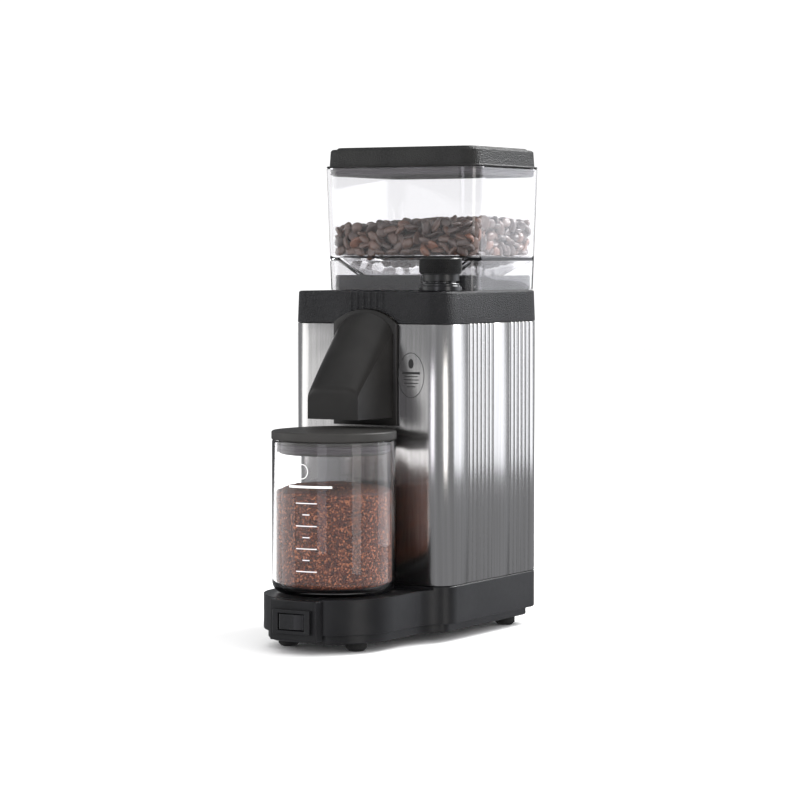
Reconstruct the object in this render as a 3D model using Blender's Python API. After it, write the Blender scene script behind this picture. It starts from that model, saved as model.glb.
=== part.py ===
"""Burr coffee grinder: a steel-wrapped body on a plastic base, a bean hopper on top, flat burrs driven
through gears by a vertical motor, a grind-adjusting knob, a chute and a glass jar.

Metres, +Z up, the front towards -Y. The origin is at the bottom centre of the bounding box.
"""

import math

import bmesh
import bpy

# ---- Clearances and walls
GAP = 0.0003  # kept between fixed pieces that touch
RUNNING = 0.0003  # radial clearance of a turning or sliding fit
WALL = 0.0025  # moulded plastic
SHEET = 0.0010  # stainless sheet
EDGE = 0.0008  # chamfer of small moulded edges

# ---- Body
BODY_WIDTH = 0.130
BODY_DEPTH = 0.147
BODY_CORNER = 0.017
DECK_MARGIN = 0.0059  # of the round deck beyond the jar
PANEL_REACH = 0.0053  # of the switch panel's face in front of the round deck
DECK_FILLET = 0.0240  # between the deck's sides and the body's front corners
HOPPER_OVERHANG = 0.0019  # of the hopper's rim behind the body
HOPPER_WIDER = 0.0012  # than the body
HOPPER_FROM_FRONT = 0.0414  # behind the body's front

# ---- Heights, stacked upwards
FOOT_HEIGHT = 0.0065
COVER_HEIGHT = 0.0060
BASE_HEIGHT = 0.0276
DECK_DROP = 0.0027
SHELL_HEIGHT = 0.1847
CAP_HEIGHT = 0.0231
BOSS_HEIGHT = 0.0116
HOPPER_HEIGHT = 0.0892
LID_HEIGHT = 0.0149

# ---- Feet and screws
FOOT_RADIUS = 0.0073
FOOT_STEM_RADIUS = 0.0025
FOOT_CHAMFER = 0.0021
FRONT_FOOT_X = 0.0275
FRONT_FOOT_FROM_FACE = 0.0388
REAR_FOOT_FROM_SIDE = 0.0167
REAR_FOOT_FROM_BACK = 0.0275
SCREW_RADIUS = 0.0015
SCREW_HEAD_RADIUS = 0.0032
SCREW_HEAD_HEIGHT = 0.0018
POST_RADIUS = 0.0042
COVER_BODY_INSET = 0.0062
COVER_DECK_INSET = 0.0032
COVER_FLANGE = 0.0020
COVER_PLATE = 0.0025
GLAND_RADIUS = 0.0052
GLAND_BORE = 0.0034
GLAND_LIP = 0.0014
GLAND_X = 0.0400
VENT_SLOTS = 5
VENT_PITCH = 0.0085
VENT_WIDTH = 0.0035
VENT_MARGIN = 0.0040  # of the rear wall above and below the slots
INLET_SLOT_REACH = 0.0180  # half the length of the slots under the fan
AIR_INLET_RADIUS = 0.0260
WIRE_HOLE_RADIUS = 0.0060
WIRE_HOLE_FROM_FRONT = 0.0160

# ---- Pressed flutes in the steel sides and ribs on the cap
FLUTE_PITCH = 0.0059
FLUTE_WIDTH = 0.0026
FLUTE_DEPTH = 0.0007
FLUTES_PER_GROUP = 7
FLUTES_FROM_FRONT = 0.0337  # the first flute's middle, from the body's front
FLUTE_BAND = 0.0270  # plain band between the two groups
CAP_RIBS = 6
CAP_RIB_PITCH = 0.0052
CAP_RIB_WIDTH = 0.0022
CAP_RIB_PROUD = 0.0006
CAP_PROUD = 0.0004
CAP_DRAFT = 0.0010

# ---- Chute and its bezel
BEZEL_HALF_WIDTH = 0.0260
BEZEL_PROUD = 0.0030
BEZEL_RIM = 0.0038
BEZEL_SLEEVE = 0.0050
ARCH_RISE = 0.0100
ARCH_TOP = 0.0105  # above the shell's top edge
BEZEL_ABOVE_JAR = 0.0015  # above the rim of its lid
CHUTE_REACH = 0.0465
CHUTE_BACK_HALF = 0.0235
CHUTE_NOSE_HALF = 0.0205
CHUTE_WALL = 0.0022
CHUTE_NOSE_HEIGHT = 0.0210
CHUTE_ABOVE_BEZEL = 0.0059  # its lower edge above the bezel's
CHUTE_NOSE_ROUND = 0.0090
CHUTE_SHOULDER = 0.0045  # drop of its head where it meets the sides

# ---- Jar
JAR_CLEARANCE = 0.0009  # between its lid and the body's front
JAR_RADIUS = 0.0434
JAR_LID_OVERHANG = 0.0004
JAR_WALL = 0.0024
JAR_FLOOR = 0.0040
JAR_CORNER = 0.0080
JAR_HEIGHT = 0.1072
JAR_LID_THICKNESS = 0.0062  # at its rim
JAR_LID_DOME = 0.0024
JAR_PLUG_INSET = 0.0048
JAR_PLUG_DEPTH = 0.0100
JAR_SEAL_ABOVE = 0.0020  # above the plug's end
JAR_SEAL_PITCH = 0.0016
JAR_HOLE_RADIUS = 0.0130
JAR_HOLE_FROM_BODY = 0.0250

# ---- Hopper
HOPPER_CORNER = 0.0160
HOPPER_TAPER = 0.0033
HOPPER_WALL = 0.0022
HOPPER_FLOOR = 0.0240  # above the cap
HOPPER_LEDGE = 0.0060  # flat edge of the floor around the funnel
THROAT_RADIUS = 0.0140
THROAT_TOP = 0.0005  # above the cap
THROAT_END = 0.0100  # below the cap
BOSS_CLEARANCE = 0.0010
FUNNEL_ROOM = 0.0015
LID_PLUG_INSET = 0.0046
LID_PLUG_DEPTH = 0.0058
LID_SEAL_HEIGHT = 0.0044
LID_SEAL_CLEARANCE = 0.0006
LID_SEAL_MARGIN = 0.0007  # of the plug above and below its seal
LID_STEP = 0.0013  # of the raised middle
LID_FLANGE = 0.0011
LID_BODY_INSET = 0.0022
LID_SHELF_WIDTH = 0.0042

# ---- Knob
KNOB_FROM_SIDE = 0.0165
KNOB_FROM_FRONT = 0.0210
KNOB_RADIUS = 0.0152
KNOB_SKIRT_RADIUS = 0.0133
KNOB_NECK_RADIUS = 0.0110
KNOB_GRIP_HEIGHT = 0.0115
KNOB_SKIRT_HEIGHT = 0.0051
KNOB_NECK_HEIGHT = 0.0012
COLLAR_HEIGHT = 0.0060
KNOB_SHAFT_RADIUS = 0.0040
KNOB_SHAFT_BELOW = 0.0020  # under its pinion, and short of the knob's top

# ---- Grinding chamber and burrs
BURR_FORWARD = 0.0065  # of the burr axis in front of the body's middle
BURR_RADIUS = 0.0245
BURR_THICKNESS = 0.0045
BURR_GAP = 0.0004
BURR_BORE = 0.0140
UPPER_BURR_BELOW_SHELL_TOP = 0.0128
BURR_SEAT_LIP = 0.0005
BURR_SLOPE = 0.0018  # rise of the working face from its bore to its land
BURR_LAND = 0.0045
CARRIER_RADIUS = 0.0315
CARRIER_CLEARANCE = 0.0005  # of it, and of the drive gear, in the chamber
CARRIER_ABOVE_RING = 0.0018
CARRIER_BELOW_THROAT = 0.0040
THROAT_CLEARANCE = 0.0012
CHAMBER_WALL = 0.0030
CHAMBER_FLOOR_BELOW_SHELL_TOP = 0.0368
CHAMBER_SLAB = 0.0040
PINION_OPENING_HALF = 0.0140
PINION_OPENING_HEIGHT = 0.0220
DUCT_HALF_WIDTH = 0.0150
DUCT_FLOOR = 0.0020
DUCT_HEIGHT = 0.0250
DISC_THICKNESS = 0.0055
DISC_RIM = 0.0020  # beyond the burr it carries
PADDLES = 4
PADDLE_THICKNESS = 0.0030
PADDLE_CLEARANCE = 0.0012
SHAFT_ABOVE_DISC = 0.0060
BURR_SHAFT_RADIUS = 0.0040
BEARING_RADIUS = 0.0110
BEARING_HEIGHT = 0.0070

# ---- Gears
TOOTH_TIP = 0.72  # modules beyond the pitch circle
TOOTH_ROOT = 1.0
ADJUST_PINION_TEETH = 10
ADJUST_RING_TEETH = 52
ADJUST_GEAR_HEIGHT = 0.0060
ADJUST_RING_ABOVE_SHELL = 0.0017
MOTOR_PINION_TEETH = 12
DRIVE_GEAR_TEETH = 42
DRIVE_CENTRES = 0.0350
DRIVE_GEAR_HEIGHT = 0.0080

# ---- Motor and chassis
PLATE_BELOW_SHELL_TOP = 0.0808
PLATE_THICKNESS = 0.0040
PLATE_CLEARANCE = 0.0008  # inside the flutes
PLATE_SHAFT_CLEARANCE = 0.0015
STATOR_RADIUS = 0.0340
STATOR_BORE = 0.0192
ROTOR_RADIUS = 0.0185
BRACKET_HEIGHT = 0.0140
BRACKET_WALL = 0.0030
MOTOR_SHAFT_RADIUS = 0.0040
MOTOR_SHAFT_END = 0.0010  # beyond its pinion and its fan, and of the stator beyond the rotor
FAN_RADIUS = 0.0300
FAN_HEIGHT = 0.0100
FAN_ABOVE_DECK = 0.0108
FAN_BLADES = 8
FAN_CLEARANCE = 0.0015
FAN_HUB_RADIUS = 0.0090
FAN_BLADE_THICKNESS = 0.0014
FAN_BLADE_LEAN = 0.35  # radians
POST_ROD_RADIUS = 0.0040
POST_FROM_SIDE = 0.0130
POST_FROM_FACE = 0.0135
CAPACITOR_RADIUS = 0.0125
CAPACITOR_HEIGHT = 0.0420
CAPACITOR_X = -0.0360
CAPACITOR_FROM_FRONT = 0.0340
TERMINAL_WIDTH = 0.0300
TERMINAL_DEPTH = 0.0140
TERMINAL_HEIGHT = 0.0160
TERMINAL_X = 0.0330
TERMINAL_FROM_FRONT = 0.0350
TERMINAL_WELLS = 3
TERMINAL_WELL_RADIUS = 0.0022

# ---- Switch
PANEL_HALF_WIDTH = 0.0186
PANEL_MARGIN = 0.0004  # of the tray's flat beside the panel
PANEL_BELOW_DECK = 0.0003
PANEL_BELOW_TRAY = 0.0032
SWITCH_BELOW_MIDDLE = 0.0007  # of the panel
SWITCH_FLANGE_WIDTH = 0.0298
SWITCH_FLANGE_HEIGHT = 0.0168
SWITCH_PROUD = 0.0028
SWITCH_CASE_WIDTH = 0.0260
SWITCH_CASE_HEIGHT = 0.0145
SWITCH_CASE_DEPTH = 0.0170
ROCKER_WIDTH = 0.0200
ROCKER_HEIGHT = 0.0108
ROCKER_CLEARANCE = 0.0005  # above and below it
ROCKER_SUNK = 0.0003
SWITCH_ROOM = 0.0015  # round its case in the tray
ROCKER_PIVOT_DEPTH = 0.0025
ROCKER_PIVOT_X = 0.0020  # right of the rocker's middle
ROCKER_HEEL = 0.0030  # behind its pivot
ROCKER_TILT = math.radians(16)

# ---- Places worked out from the sizes above
JAR_LID_RADIUS = JAR_RADIUS + JAR_LID_OVERHANG
JAR_PLUG_RADIUS = JAR_RADIUS - JAR_PLUG_INSET
DECK_RADIUS = JAR_RADIUS + DECK_MARGIN
DECK_REACH = JAR_CLEARANCE + JAR_LID_RADIUS + DECK_RADIUS + PANEL_REACH
HOPPER_WIDTH = BODY_WIDTH + HOPPER_WIDER
HOPPER_DEPTH = BODY_DEPTH + HOPPER_OVERHANG - HOPPER_FROM_FRONT
DRIVE_MODULE = 2 * DRIVE_CENTRES / (MOTOR_PINION_TEETH + DRIVE_GEAR_TEETH)
DRIVE_GEAR_TIP = DRIVE_MODULE * (DRIVE_GEAR_TEETH / 2 + TOOTH_TIP)
CHAMBER_RADIUS = max(CARRIER_RADIUS, DRIVE_GEAR_TIP) + CARRIER_CLEARANCE + CHAMBER_WALL
BODY_Y = (DECK_REACH + SWITCH_PROUD - HOPPER_OVERHANG) / 2
FRONT_Y = BODY_Y - BODY_DEPTH / 2
REAR_Y = BODY_Y + BODY_DEPTH / 2
DECK_FRONT_Y = FRONT_Y - DECK_REACH
COVER_TOP = FOOT_HEIGHT + COVER_HEIGHT
COVER_FLANGE_TOP = COVER_TOP + COVER_FLANGE
BASE_TOP = COVER_TOP + BASE_HEIGHT
DECK_Z = BASE_TOP - DECK_DROP
GLAND_Z = (COVER_TOP + DECK_Z) / 2
SHELL_TOP = BASE_TOP + SHELL_HEIGHT
CAP_TOP = SHELL_TOP + CAP_HEIGHT
BOSS_TOP = CAP_TOP + BOSS_HEIGHT
RIM_Z = CAP_TOP + HOPPER_HEIGHT
TOP_Z = RIM_Z + LID_HEIGHT
FLOOR_Z = CAP_TOP + HOPPER_FLOOR
HOPPER_Y = REAR_Y + HOPPER_OVERHANG - HOPPER_DEPTH / 2
JAR_Y = FRONT_Y - JAR_CLEARANCE - JAR_LID_RADIUS
FLAT_Y = JAR_Y - math.sqrt(DECK_RADIUS ** 2 - (PANEL_HALF_WIDTH + PANEL_MARGIN) ** 2)
JAR_RIM = DECK_Z + GAP + JAR_HEIGHT
JAR_LID_TOP = JAR_RIM + GAP + JAR_LID_THICKNESS
JAR_HOLE_Y = FRONT_Y - JAR_HOLE_FROM_BODY
BEZEL_LOW = JAR_LID_TOP + BEZEL_ABOVE_JAR
CHUTE_LOW = BEZEL_LOW + CHUTE_ABOVE_BEZEL
KNOB_X = BODY_WIDTH / 2 - KNOB_FROM_SIDE
KNOB_Y = FRONT_Y + KNOB_FROM_FRONT
BURR_Y = BODY_Y - BURR_FORWARD
MOTOR_Y = BURR_Y + DRIVE_CENTRES
UPPER_BURR_Z = SHELL_TOP - UPPER_BURR_BELOW_SHELL_TOP
LOWER_BURR_Z = UPPER_BURR_Z - BURR_THICKNESS - BURR_GAP
CHAMBER_FLOOR_Z = SHELL_TOP - CHAMBER_FLOOR_BELOW_SHELL_TOP
PLATE_Z = SHELL_TOP - PLATE_BELOW_SHELL_TOP
PLATE_UNDER = PLATE_Z - PLATE_THICKNESS
ADJUST_RING_Z = SHELL_TOP + ADJUST_RING_ABOVE_SHELL
STATOR_TOP = PLATE_UNDER - GAP - BRACKET_HEIGHT
FAN_TOP = DECK_Z + FAN_ABOVE_DECK + FAN_HEIGHT
STATOR_BOTTOM = FAN_TOP + FAN_CLEARANCE + BRACKET_HEIGHT
KNOB_COLLAR_TOP = CAP_TOP + COLLAR_HEIGHT
KNOB_GRIP_Z = KNOB_COLLAR_TOP + KNOB_NECK_HEIGHT + KNOB_SKIRT_HEIGHT
PANEL_LOW, PANEL_HIGH = COVER_TOP - PANEL_BELOW_TRAY, DECK_Z - PANEL_BELOW_DECK
SWITCH_Z = (PANEL_LOW + PANEL_HIGH) / 2 - SWITCH_BELOW_MIDDLE
BEYOND = 0.0100  # how far cutters run past what they cut

FINISHES = {}


# ---- Materials
def finish(name, colour, roughness, metallic=0.0, alpha=1.0):
    """The named material, made once."""
    if name not in FINISHES:
        made = bpy.data.materials.new(name)
        made.use_nodes = True
        shader = made.node_tree.nodes["Principled BSDF"]
        shader.inputs["Base Color"].default_value = (*colour, 1.0)
        shader.inputs["Roughness"].default_value = roughness
        shader.inputs["Metallic"].default_value = metallic
        shader.inputs["Alpha"].default_value = alpha
        FINISHES[name] = made
    return FINISHES[name]


def black_plastic():
    return finish("black_plastic", (0.03, 0.03, 0.032), 0.45)


def lid_plastic():
    return finish("lid_plastic", (0.07, 0.068, 0.062), 0.55)


def steel():
    return finish("brushed_steel", (0.62, 0.61, 0.60), 0.28, 1.0)


def machined():
    return finish("machined_steel", (0.55, 0.55, 0.56), 0.25, 1.0)


def clear_plastic():
    return finish("clear_plastic", (0.92, 0.93, 0.95), 0.05, 0.0, 0.25)


def glass():
    return finish("glass", (0.95, 0.97, 0.96), 0.02, 0.0, 0.25)


def rubber():
    return finish("rubber", (0.02, 0.02, 0.02), 0.80)


def gear_plastic():
    return finish("gear_plastic", (0.78, 0.76, 0.68), 0.50)


def cast_aluminium():
    return finish("cast_aluminium", (0.60, 0.60, 0.61), 0.45, 1.0)


# ---- Points and outlines
def arc(centre, radius, start, end, steps):
    """steps + 1 points on an arc, with the angles in degrees."""
    angles = [math.radians(start + (end - start) * i / steps) for i in range(steps + 1)]
    return [(centre[0] + radius * math.cos(a), centre[1] + radius * math.sin(a)) for a in angles]


def rounded_rectangle(half_x, half_y, radius, centre_y, corner_steps=5, side_steps=1):
    """A closed outline round (0, centre_y), anticlockwise from the front left corner's end."""
    corners = [(-1, -1, 180), (1, -1, 270), (1, 1, 0), (-1, 1, 90)]
    rounds = []
    for sx, sy, start in corners:
        middle = (sx * (half_x - radius), centre_y + sy * (half_y - radius))
        rounds.append(arc(middle, radius, start, start + 90, corner_steps))
    outline = []
    for i, points in enumerate(rounds):
        outline += points
        (x0, y0), (x1, y1) = points[-1], rounds[(i + 1) % 4][0]
        outline += [(x0 + (x1 - x0) * k / side_steps, y0 + (y1 - y0) * k / side_steps)
                    for k in range(1, side_steps)]
    return outline


def circle(radius, centre=(0, 0), segments=32):
    return arc(centre, radius, 0, 360, segments)[:-1]


def at_height(outline, z):
    return [(x, y, z) for x, y in outline]


def at_depth(outline, y):
    """An outline drawn in the XZ plane, placed at y."""
    return [(x, y, z) for x, z in outline]


def box_outline(x0, x1, y0, y1):
    return [(x0, y0), (x1, y0), (x1, y1), (x0, y1)]


def base_outline(body_inset, deck_inset):
    """The base in plan, from the front's middle anticlockwise: a round deck with a flat front for the switch
    panel, fillets, and the body's rounded rectangle."""
    radius, flat = DECK_RADIUS - deck_inset, FLAT_Y + deck_inset
    start = math.degrees(math.asin((flat - JAR_Y) / radius))
    half, corner = BODY_WIDTH / 2 - body_inset, BODY_CORNER - body_inset
    corner_x, front_corner_y = half - corner, FRONT_Y + BODY_CORNER
    fillet = DECK_FILLET + deck_inset
    fillet_x = radius + fillet
    fillet_y = front_corner_y - math.sqrt((corner + fillet) ** 2 - (fillet_x - corner_x) ** 2)
    meet = math.degrees(math.atan2(front_corner_y - fillet_y, corner_x - fillet_x))
    right = arc((0, JAR_Y), radius, start, 0, 8)
    right += arc((fillet_x, fillet_y), fillet, 180, meet, 5)
    right += arc((corner_x, front_corner_y), corner, meet - 180, 0, 4)[1:]
    right += arc((corner_x, REAR_Y - BODY_CORNER), corner, 0, 90, 4)
    return right + [(-x, y) for x, y in reversed(right)]


def flute_points():
    """(distance from the body's front, depth) along one fluted side, front to back."""
    group = (FLUTES_PER_GROUP - 1) * FLUTE_PITCH
    points = []
    for first in (FLUTES_FROM_FRONT, FLUTES_FROM_FRONT + group + FLUTE_BAND):
        for i in range(FLUTES_PER_GROUP):
            middle = first + i * FLUTE_PITCH
            if middle + FLUTE_WIDTH > BODY_DEPTH - BODY_CORNER:
                continue
            points += [(middle - FLUTE_WIDTH / 2, 0), (middle - FLUTE_WIDTH / 6, FLUTE_DEPTH),
                       (middle + FLUTE_WIDTH / 6, FLUTE_DEPTH), (middle + FLUTE_WIDTH / 2, 0)]
    return points


def shell_outline(inset):
    """The steel wrap in plan, fluted on both sides."""
    half, corner = BODY_WIDTH / 2 - inset, BODY_CORNER - inset
    front, rear = FRONT_Y + inset, REAR_Y - inset
    right = [(half - depth, FRONT_Y + along) for along, depth in flute_points()]
    left = [(-x, y) for x, y in reversed(right)]
    outline = arc((half - corner, front + corner), corner, 270, 360, 8) + right
    outline += arc((half - corner, rear - corner), corner, 0, 90, 8)
    outline += arc((-half + corner, rear - corner), corner, 90, 180, 8) + left
    return outline + arc((-half + corner, front + corner), corner, 180, 270, 8)


def cap_outline(inset):
    """The cap in plan, with the ribs in the middle of its front."""
    plain = rounded_rectangle(BODY_WIDTH / 2 - inset, BODY_DEPTH / 2 - inset,
                              BODY_CORNER - inset, BODY_Y, 8)
    front = FRONT_Y + inset
    ribs = []
    for i in range(CAP_RIBS):
        middle = (i - (CAP_RIBS - 1) / 2) * CAP_RIB_PITCH
        for x, proud in ((-0.5, 0), (-0.3, CAP_RIB_PROUD), (0.3, CAP_RIB_PROUD), (0.5, 0)):
            ribs.append((middle + x * CAP_RIB_WIDTH, front - proud))
    corner_points = 9
    return plain[:corner_points] + ribs + plain[corner_points:]


def arch(half_width, top, bottom, steps=12):
    """A doorway in the XZ plane whose head is a shallow arc."""
    rise = ARCH_RISE * (half_width / BEZEL_HALF_WIDTH) ** 2
    radius = (half_width ** 2 + rise ** 2) / (2 * rise)
    spread = math.degrees(math.asin(half_width / radius))
    head = arc((0, top - radius), radius, 90 - spread, 90 + spread, steps)
    return [(-half_width, bottom), (half_width, bottom)] + head


def gear_outline(teeth, module, centre, phase):
    """Slim straight-sided teeth that leave backlash, with the middle of one tooth at phase."""
    pitch = module * teeth / 2
    root, tip = pitch - TOOTH_ROOT * module, pitch + TOOTH_TIP * module
    points = []
    for k in range(teeth):
        middle = phase + k * 2 * math.pi / teeth
        for radius, share in ((root, -0.30), (tip, -0.11), (tip, 0.11), (root, 0.30)):
            angle = middle + share * 2 * math.pi / teeth
            points.append((centre[0] + radius * math.cos(angle), centre[1] + radius * math.sin(angle)))
    return points


# ---- Solids
def skin(name, rings, look, loop=False, origin=(0, 0, 0)):
    """A closed solid through rings of as many points each, with its ends capped, or joined if it is a loop."""
    form = bmesh.new()
    rows = []
    for ring in rings:
        rows.append([form.verts.new([p - o for p, o in zip(point, origin)]) for point in ring])
    count = len(rows[0])
    pairs = list(zip(rows, rows[1:]))
    if loop:
        pairs.append((rows[-1], rows[0]))
    else:
        form.faces.new(rows[0])
        form.faces.new(rows[-1])
    for low, high in pairs:
        for i in range(count):
            j = (i + 1) % count
            form.faces.new((low[i], low[j], high[j], high[i]))
    bmesh.ops.recalc_face_normals(form, faces=form.faces)
    mesh = bpy.data.meshes.new(name)
    form.to_mesh(mesh)
    form.free()
    mesh.materials.append(look)
    mesh.shade_smooth()
    mesh.set_sharp_from_angle(angle=math.radians(35))
    made = bpy.data.objects.new(name, mesh)
    made.location = origin
    bpy.context.scene.collection.objects.link(made)
    return made


def prism(name, outline, z0, z1, look, origin=(0, 0, 0)):
    return skin(name, [at_height(outline, z0), at_height(outline, z1)], look, origin=origin)


def tube(name, outer, inner, z0, z1, look, origin=(0, 0, 0)):
    rings = [at_height(outer, z0), at_height(outer, z1), at_height(inner, z1), at_height(inner, z0)]
    return skin(name, rings, look, loop=True, origin=origin)


def block(name, x0, x1, y0, y1, z0, z1, look):
    return prism(name, box_outline(x0, x1, y0, y1), z0, z1, look)


def turned(name, profile, centre, look, segments=32, loop=False, origin=(0, 0, 0)):
    """(radius, z) points turned round the vertical line through centre."""
    rings = [at_height(circle(radius, centre, segments), z) for radius, z in profile]
    return skin(name, rings, look, loop, origin)


def rod(name, radius, centre, z0, z1, look, segments=16, origin=(0, 0, 0)):
    return turned(name, [(radius, z0), (radius, z1)], centre, look, segments, origin=origin)


def washer(name, outer, inner, centre, z0, z1, look, segments=24, origin=(0, 0, 0)):
    return tube(name, circle(outer, centre, segments), circle(inner, centre, segments), z0, z1, look, origin)


def combine(target, tool, operation):
    tool.hide_render = True
    tool.display_type = "WIRE"
    modifier = target.modifiers.new(tool.name, "BOOLEAN")
    modifier.operation = operation
    modifier.solver = "EXACT"
    modifier.object = tool


def cut(target, *tools):
    for tool in tools:
        combine(target, tool, "DIFFERENCE")


def add(target, *tools):
    for tool in tools:
        combine(target, tool, "UNION")


# ---- Base
def corner_points():
    """Where the feet stand: front left, front right, rear left, rear right."""
    front, rear = DECK_FRONT_Y + FRONT_FOOT_FROM_FACE, REAR_Y - REAR_FOOT_FROM_BACK
    rear_x = BODY_WIDTH / 2 - REAR_FOOT_FROM_SIDE
    return {"front_left": (-FRONT_FOOT_X, front), "front_right": (FRONT_FOOT_X, front),
            "rear_left": (-rear_x, rear), "rear_right": (rear_x, rear)}


def screw_points():
    """Where the cover's screws go, beside the feet."""
    shift = 2 * FOOT_RADIUS
    return {name: (x, y + (-shift if "rear" in name else shift)) for name, (x, y) in corner_points().items()}


def base_tray():
    look = black_plastic()
    under, ceiling = COVER_TOP + GAP, DECK_Z - WALL
    tray = prism("base_tray", base_outline(0, 0), under, BASE_TOP - GAP, look)
    half, far = BODY_WIDTH / 2, REAR_Y + BEYOND
    rim = WALL + SHEET
    cut(tray,
        block("over_deck_cut", -half, half, DECK_FRONT_Y - BEYOND, FRONT_Y, DECK_Z, BASE_TOP + BEYOND, look),
        prism("base_cavity", base_outline(WALL, WALL), under - BEYOND, ceiling, look),
        prism("base_pocket", rounded_rectangle(half - rim, BODY_DEPTH / 2 - rim, BODY_CORNER - rim, BODY_Y),
              DECK_Z, BASE_TOP + BEYOND, look),
        switch_block("case_opening", SWITCH_CASE_WIDTH, SWITCH_CASE_HEIGHT, SWITCH_ROOM, FLAT_Y - BEYOND,
                     FLAT_Y + 2 * WALL),
        rod("air_inlet", AIR_INLET_RADIUS, (0, MOTOR_Y), ceiling - BEYOND / 2, DECK_Z + BEYOND / 2, look,
            24),
        rod("wire_hole", WIRE_HOLE_RADIUS, (0, FRONT_Y + WIRE_HOLE_FROM_FRONT), ceiling - BEYOND / 2,
            DECK_Z + BEYOND / 2, look, 12))
    gland = at_depth(circle(GLAND_RADIUS + GAP, (GLAND_X, GLAND_Z), 16), REAR_Y - BEYOND)
    gland_far = at_depth(circle(GLAND_RADIUS + GAP, (GLAND_X, GLAND_Z), 16), far)
    cut(tray, skin("gland_hole", [gland, gland_far], look))
    for i in range(VENT_SLOTS):
        x = (i - (VENT_SLOTS - 1) / 2) * VENT_PITCH
        cut(tray, block(f"vent_cut_{i}", x - VENT_WIDTH / 2, x + VENT_WIDTH / 2, REAR_Y - BEYOND, far,
                        under + VENT_MARGIN, ceiling - VENT_MARGIN, look))
    for name, centre in screw_points().items():
        add(tray, rod(f"{name}_post", POST_RADIUS, centre, COVER_FLANGE_TOP + GAP, ceiling + WALL / 2,
                      look, 12))
        cut(tray, rod(f"{name}_post_hole", SCREW_RADIUS + GAP, centre,
                      COVER_FLANGE_TOP - BEYOND / 2, ceiling - WALL, look, 10))
    return tray


def bottom_cover():
    """A stepped plate: the visible skirt below, and a flange that fits inside the tray's walls."""
    look = black_plastic()
    flange = WALL + GAP
    lower = base_outline(COVER_BODY_INSET, COVER_DECK_INSET)
    upper = base_outline(flange, flange)
    rings = [at_height(lower, FOOT_HEIGHT), at_height(lower, COVER_TOP),
             at_height(upper, COVER_TOP), at_height(upper, COVER_FLANGE_TOP)]
    cover = skin("bottom_cover", rings, look)
    plate_top = FOOT_HEIGHT + COVER_PLATE
    cut(cover, prism("cover_pocket", base_outline(COVER_BODY_INSET + WALL, COVER_DECK_INSET + WALL),
                     plate_top, COVER_TOP + BEYOND, look),
        switch_block("cover_case_room", SWITCH_CASE_WIDTH, SWITCH_CASE_HEIGHT, GAP, DECK_FRONT_Y - BEYOND,
                     DECK_FRONT_Y + SWITCH_CASE_DEPTH))
    for name, centre in corner_points().items():
        cut(cover, rod(f"{name}_foot_hole", FOOT_STEM_RADIUS + GAP, centre, FOOT_HEIGHT - BEYOND,
                       plate_top + BEYOND / 4, look, 12))
    for name, centre in screw_points().items():
        cut(cover, rod(f"{name}_screw_hole", SCREW_RADIUS + GAP, centre, FOOT_HEIGHT - BEYOND,
                       plate_top + BEYOND / 4, look, 10))
    for i in range(VENT_SLOTS):
        x = (i - (VENT_SLOTS - 1) / 2) * VENT_PITCH
        cut(cover, block(f"inlet_cut_{i}", x - VENT_WIDTH / 2, x + VENT_WIDTH / 2,
                         MOTOR_Y - INLET_SLOT_REACH, MOTOR_Y + INLET_SLOT_REACH,
                         FOOT_HEIGHT - BEYOND, plate_top + BEYOND / 4, look))
    return cover


def feet_and_screws():
    for name, (x, y) in corner_points().items():
        top, stem_top = FOOT_HEIGHT - GAP, FOOT_HEIGHT + COVER_PLATE + EDGE
        turned(f"foot_{name}", [(FOOT_RADIUS - FOOT_CHAMFER, 0), (FOOT_RADIUS, FOOT_CHAMFER),
                                (FOOT_RADIUS, top), (FOOT_STEM_RADIUS, top), (FOOT_STEM_RADIUS, stem_top)],
               (x, y), rubber(), 16)
    head_top = FOOT_HEIGHT - GAP
    for name, (x, y) in screw_points().items():
        head_low = head_top - SCREW_HEAD_HEIGHT
        turned(f"screw_{name}", [(SCREW_HEAD_RADIUS - EDGE, head_low), (SCREW_HEAD_RADIUS, head_low + EDGE),
                                 (SCREW_HEAD_RADIUS, head_top), (SCREW_RADIUS, head_top),
                                 (SCREW_RADIUS, DECK_Z - 3 * WALL)],
               (x, y), machined(), 12)


def cord_gland():
    """The bush in the base's rear wall that the mains lead comes through."""
    look = rubber()
    centre = (GLAND_X, GLAND_Z)
    end, lip = REAR_Y - WALL - EDGE, REAR_Y + GLAND_LIP
    profile = [(GLAND_RADIUS, end), (GLAND_RADIUS, REAR_Y + GAP), (GLAND_RADIUS + GLAND_LIP, REAR_Y + GAP),
               (GLAND_RADIUS + GLAND_LIP / 2, lip), (GLAND_BORE, lip), (GLAND_BORE, end)]
    skin("cord_gland", [at_depth(circle(r, centre, 16), y) for r, y in profile], look, loop=True)


# ---- Switch
def switch_block(name, width, height, grow, y0, y1):
    """A block of this width and height, grown all round, about the switch's middle."""
    half_x, half_z = width / 2 + grow, height / 2 + grow
    return block(name, -half_x, half_x, y0, y1, SWITCH_Z - half_z, SWITCH_Z + half_z, black_plastic())


def switch_panel():
    """A box-shaped cover, open at its back, on the flat in front of the round deck."""
    look = black_plastic()
    back = FLAT_Y - GAP
    panel = block("switch_panel", -PANEL_HALF_WIDTH, PANEL_HALF_WIDTH, DECK_FRONT_Y, back,
                  PANEL_LOW, PANEL_HIGH, look)
    cut(panel,
        block("panel_inside", WALL - PANEL_HALF_WIDTH, PANEL_HALF_WIDTH - WALL, DECK_FRONT_Y + WALL,
              back + BEYOND, PANEL_LOW + WALL, PANEL_HIGH - WALL, look),
        switch_block("switch_hole", SWITCH_CASE_WIDTH, SWITCH_CASE_HEIGHT, GAP, DECK_FRONT_Y - BEYOND,
                     DECK_FRONT_Y + 2 * WALL))


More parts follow.
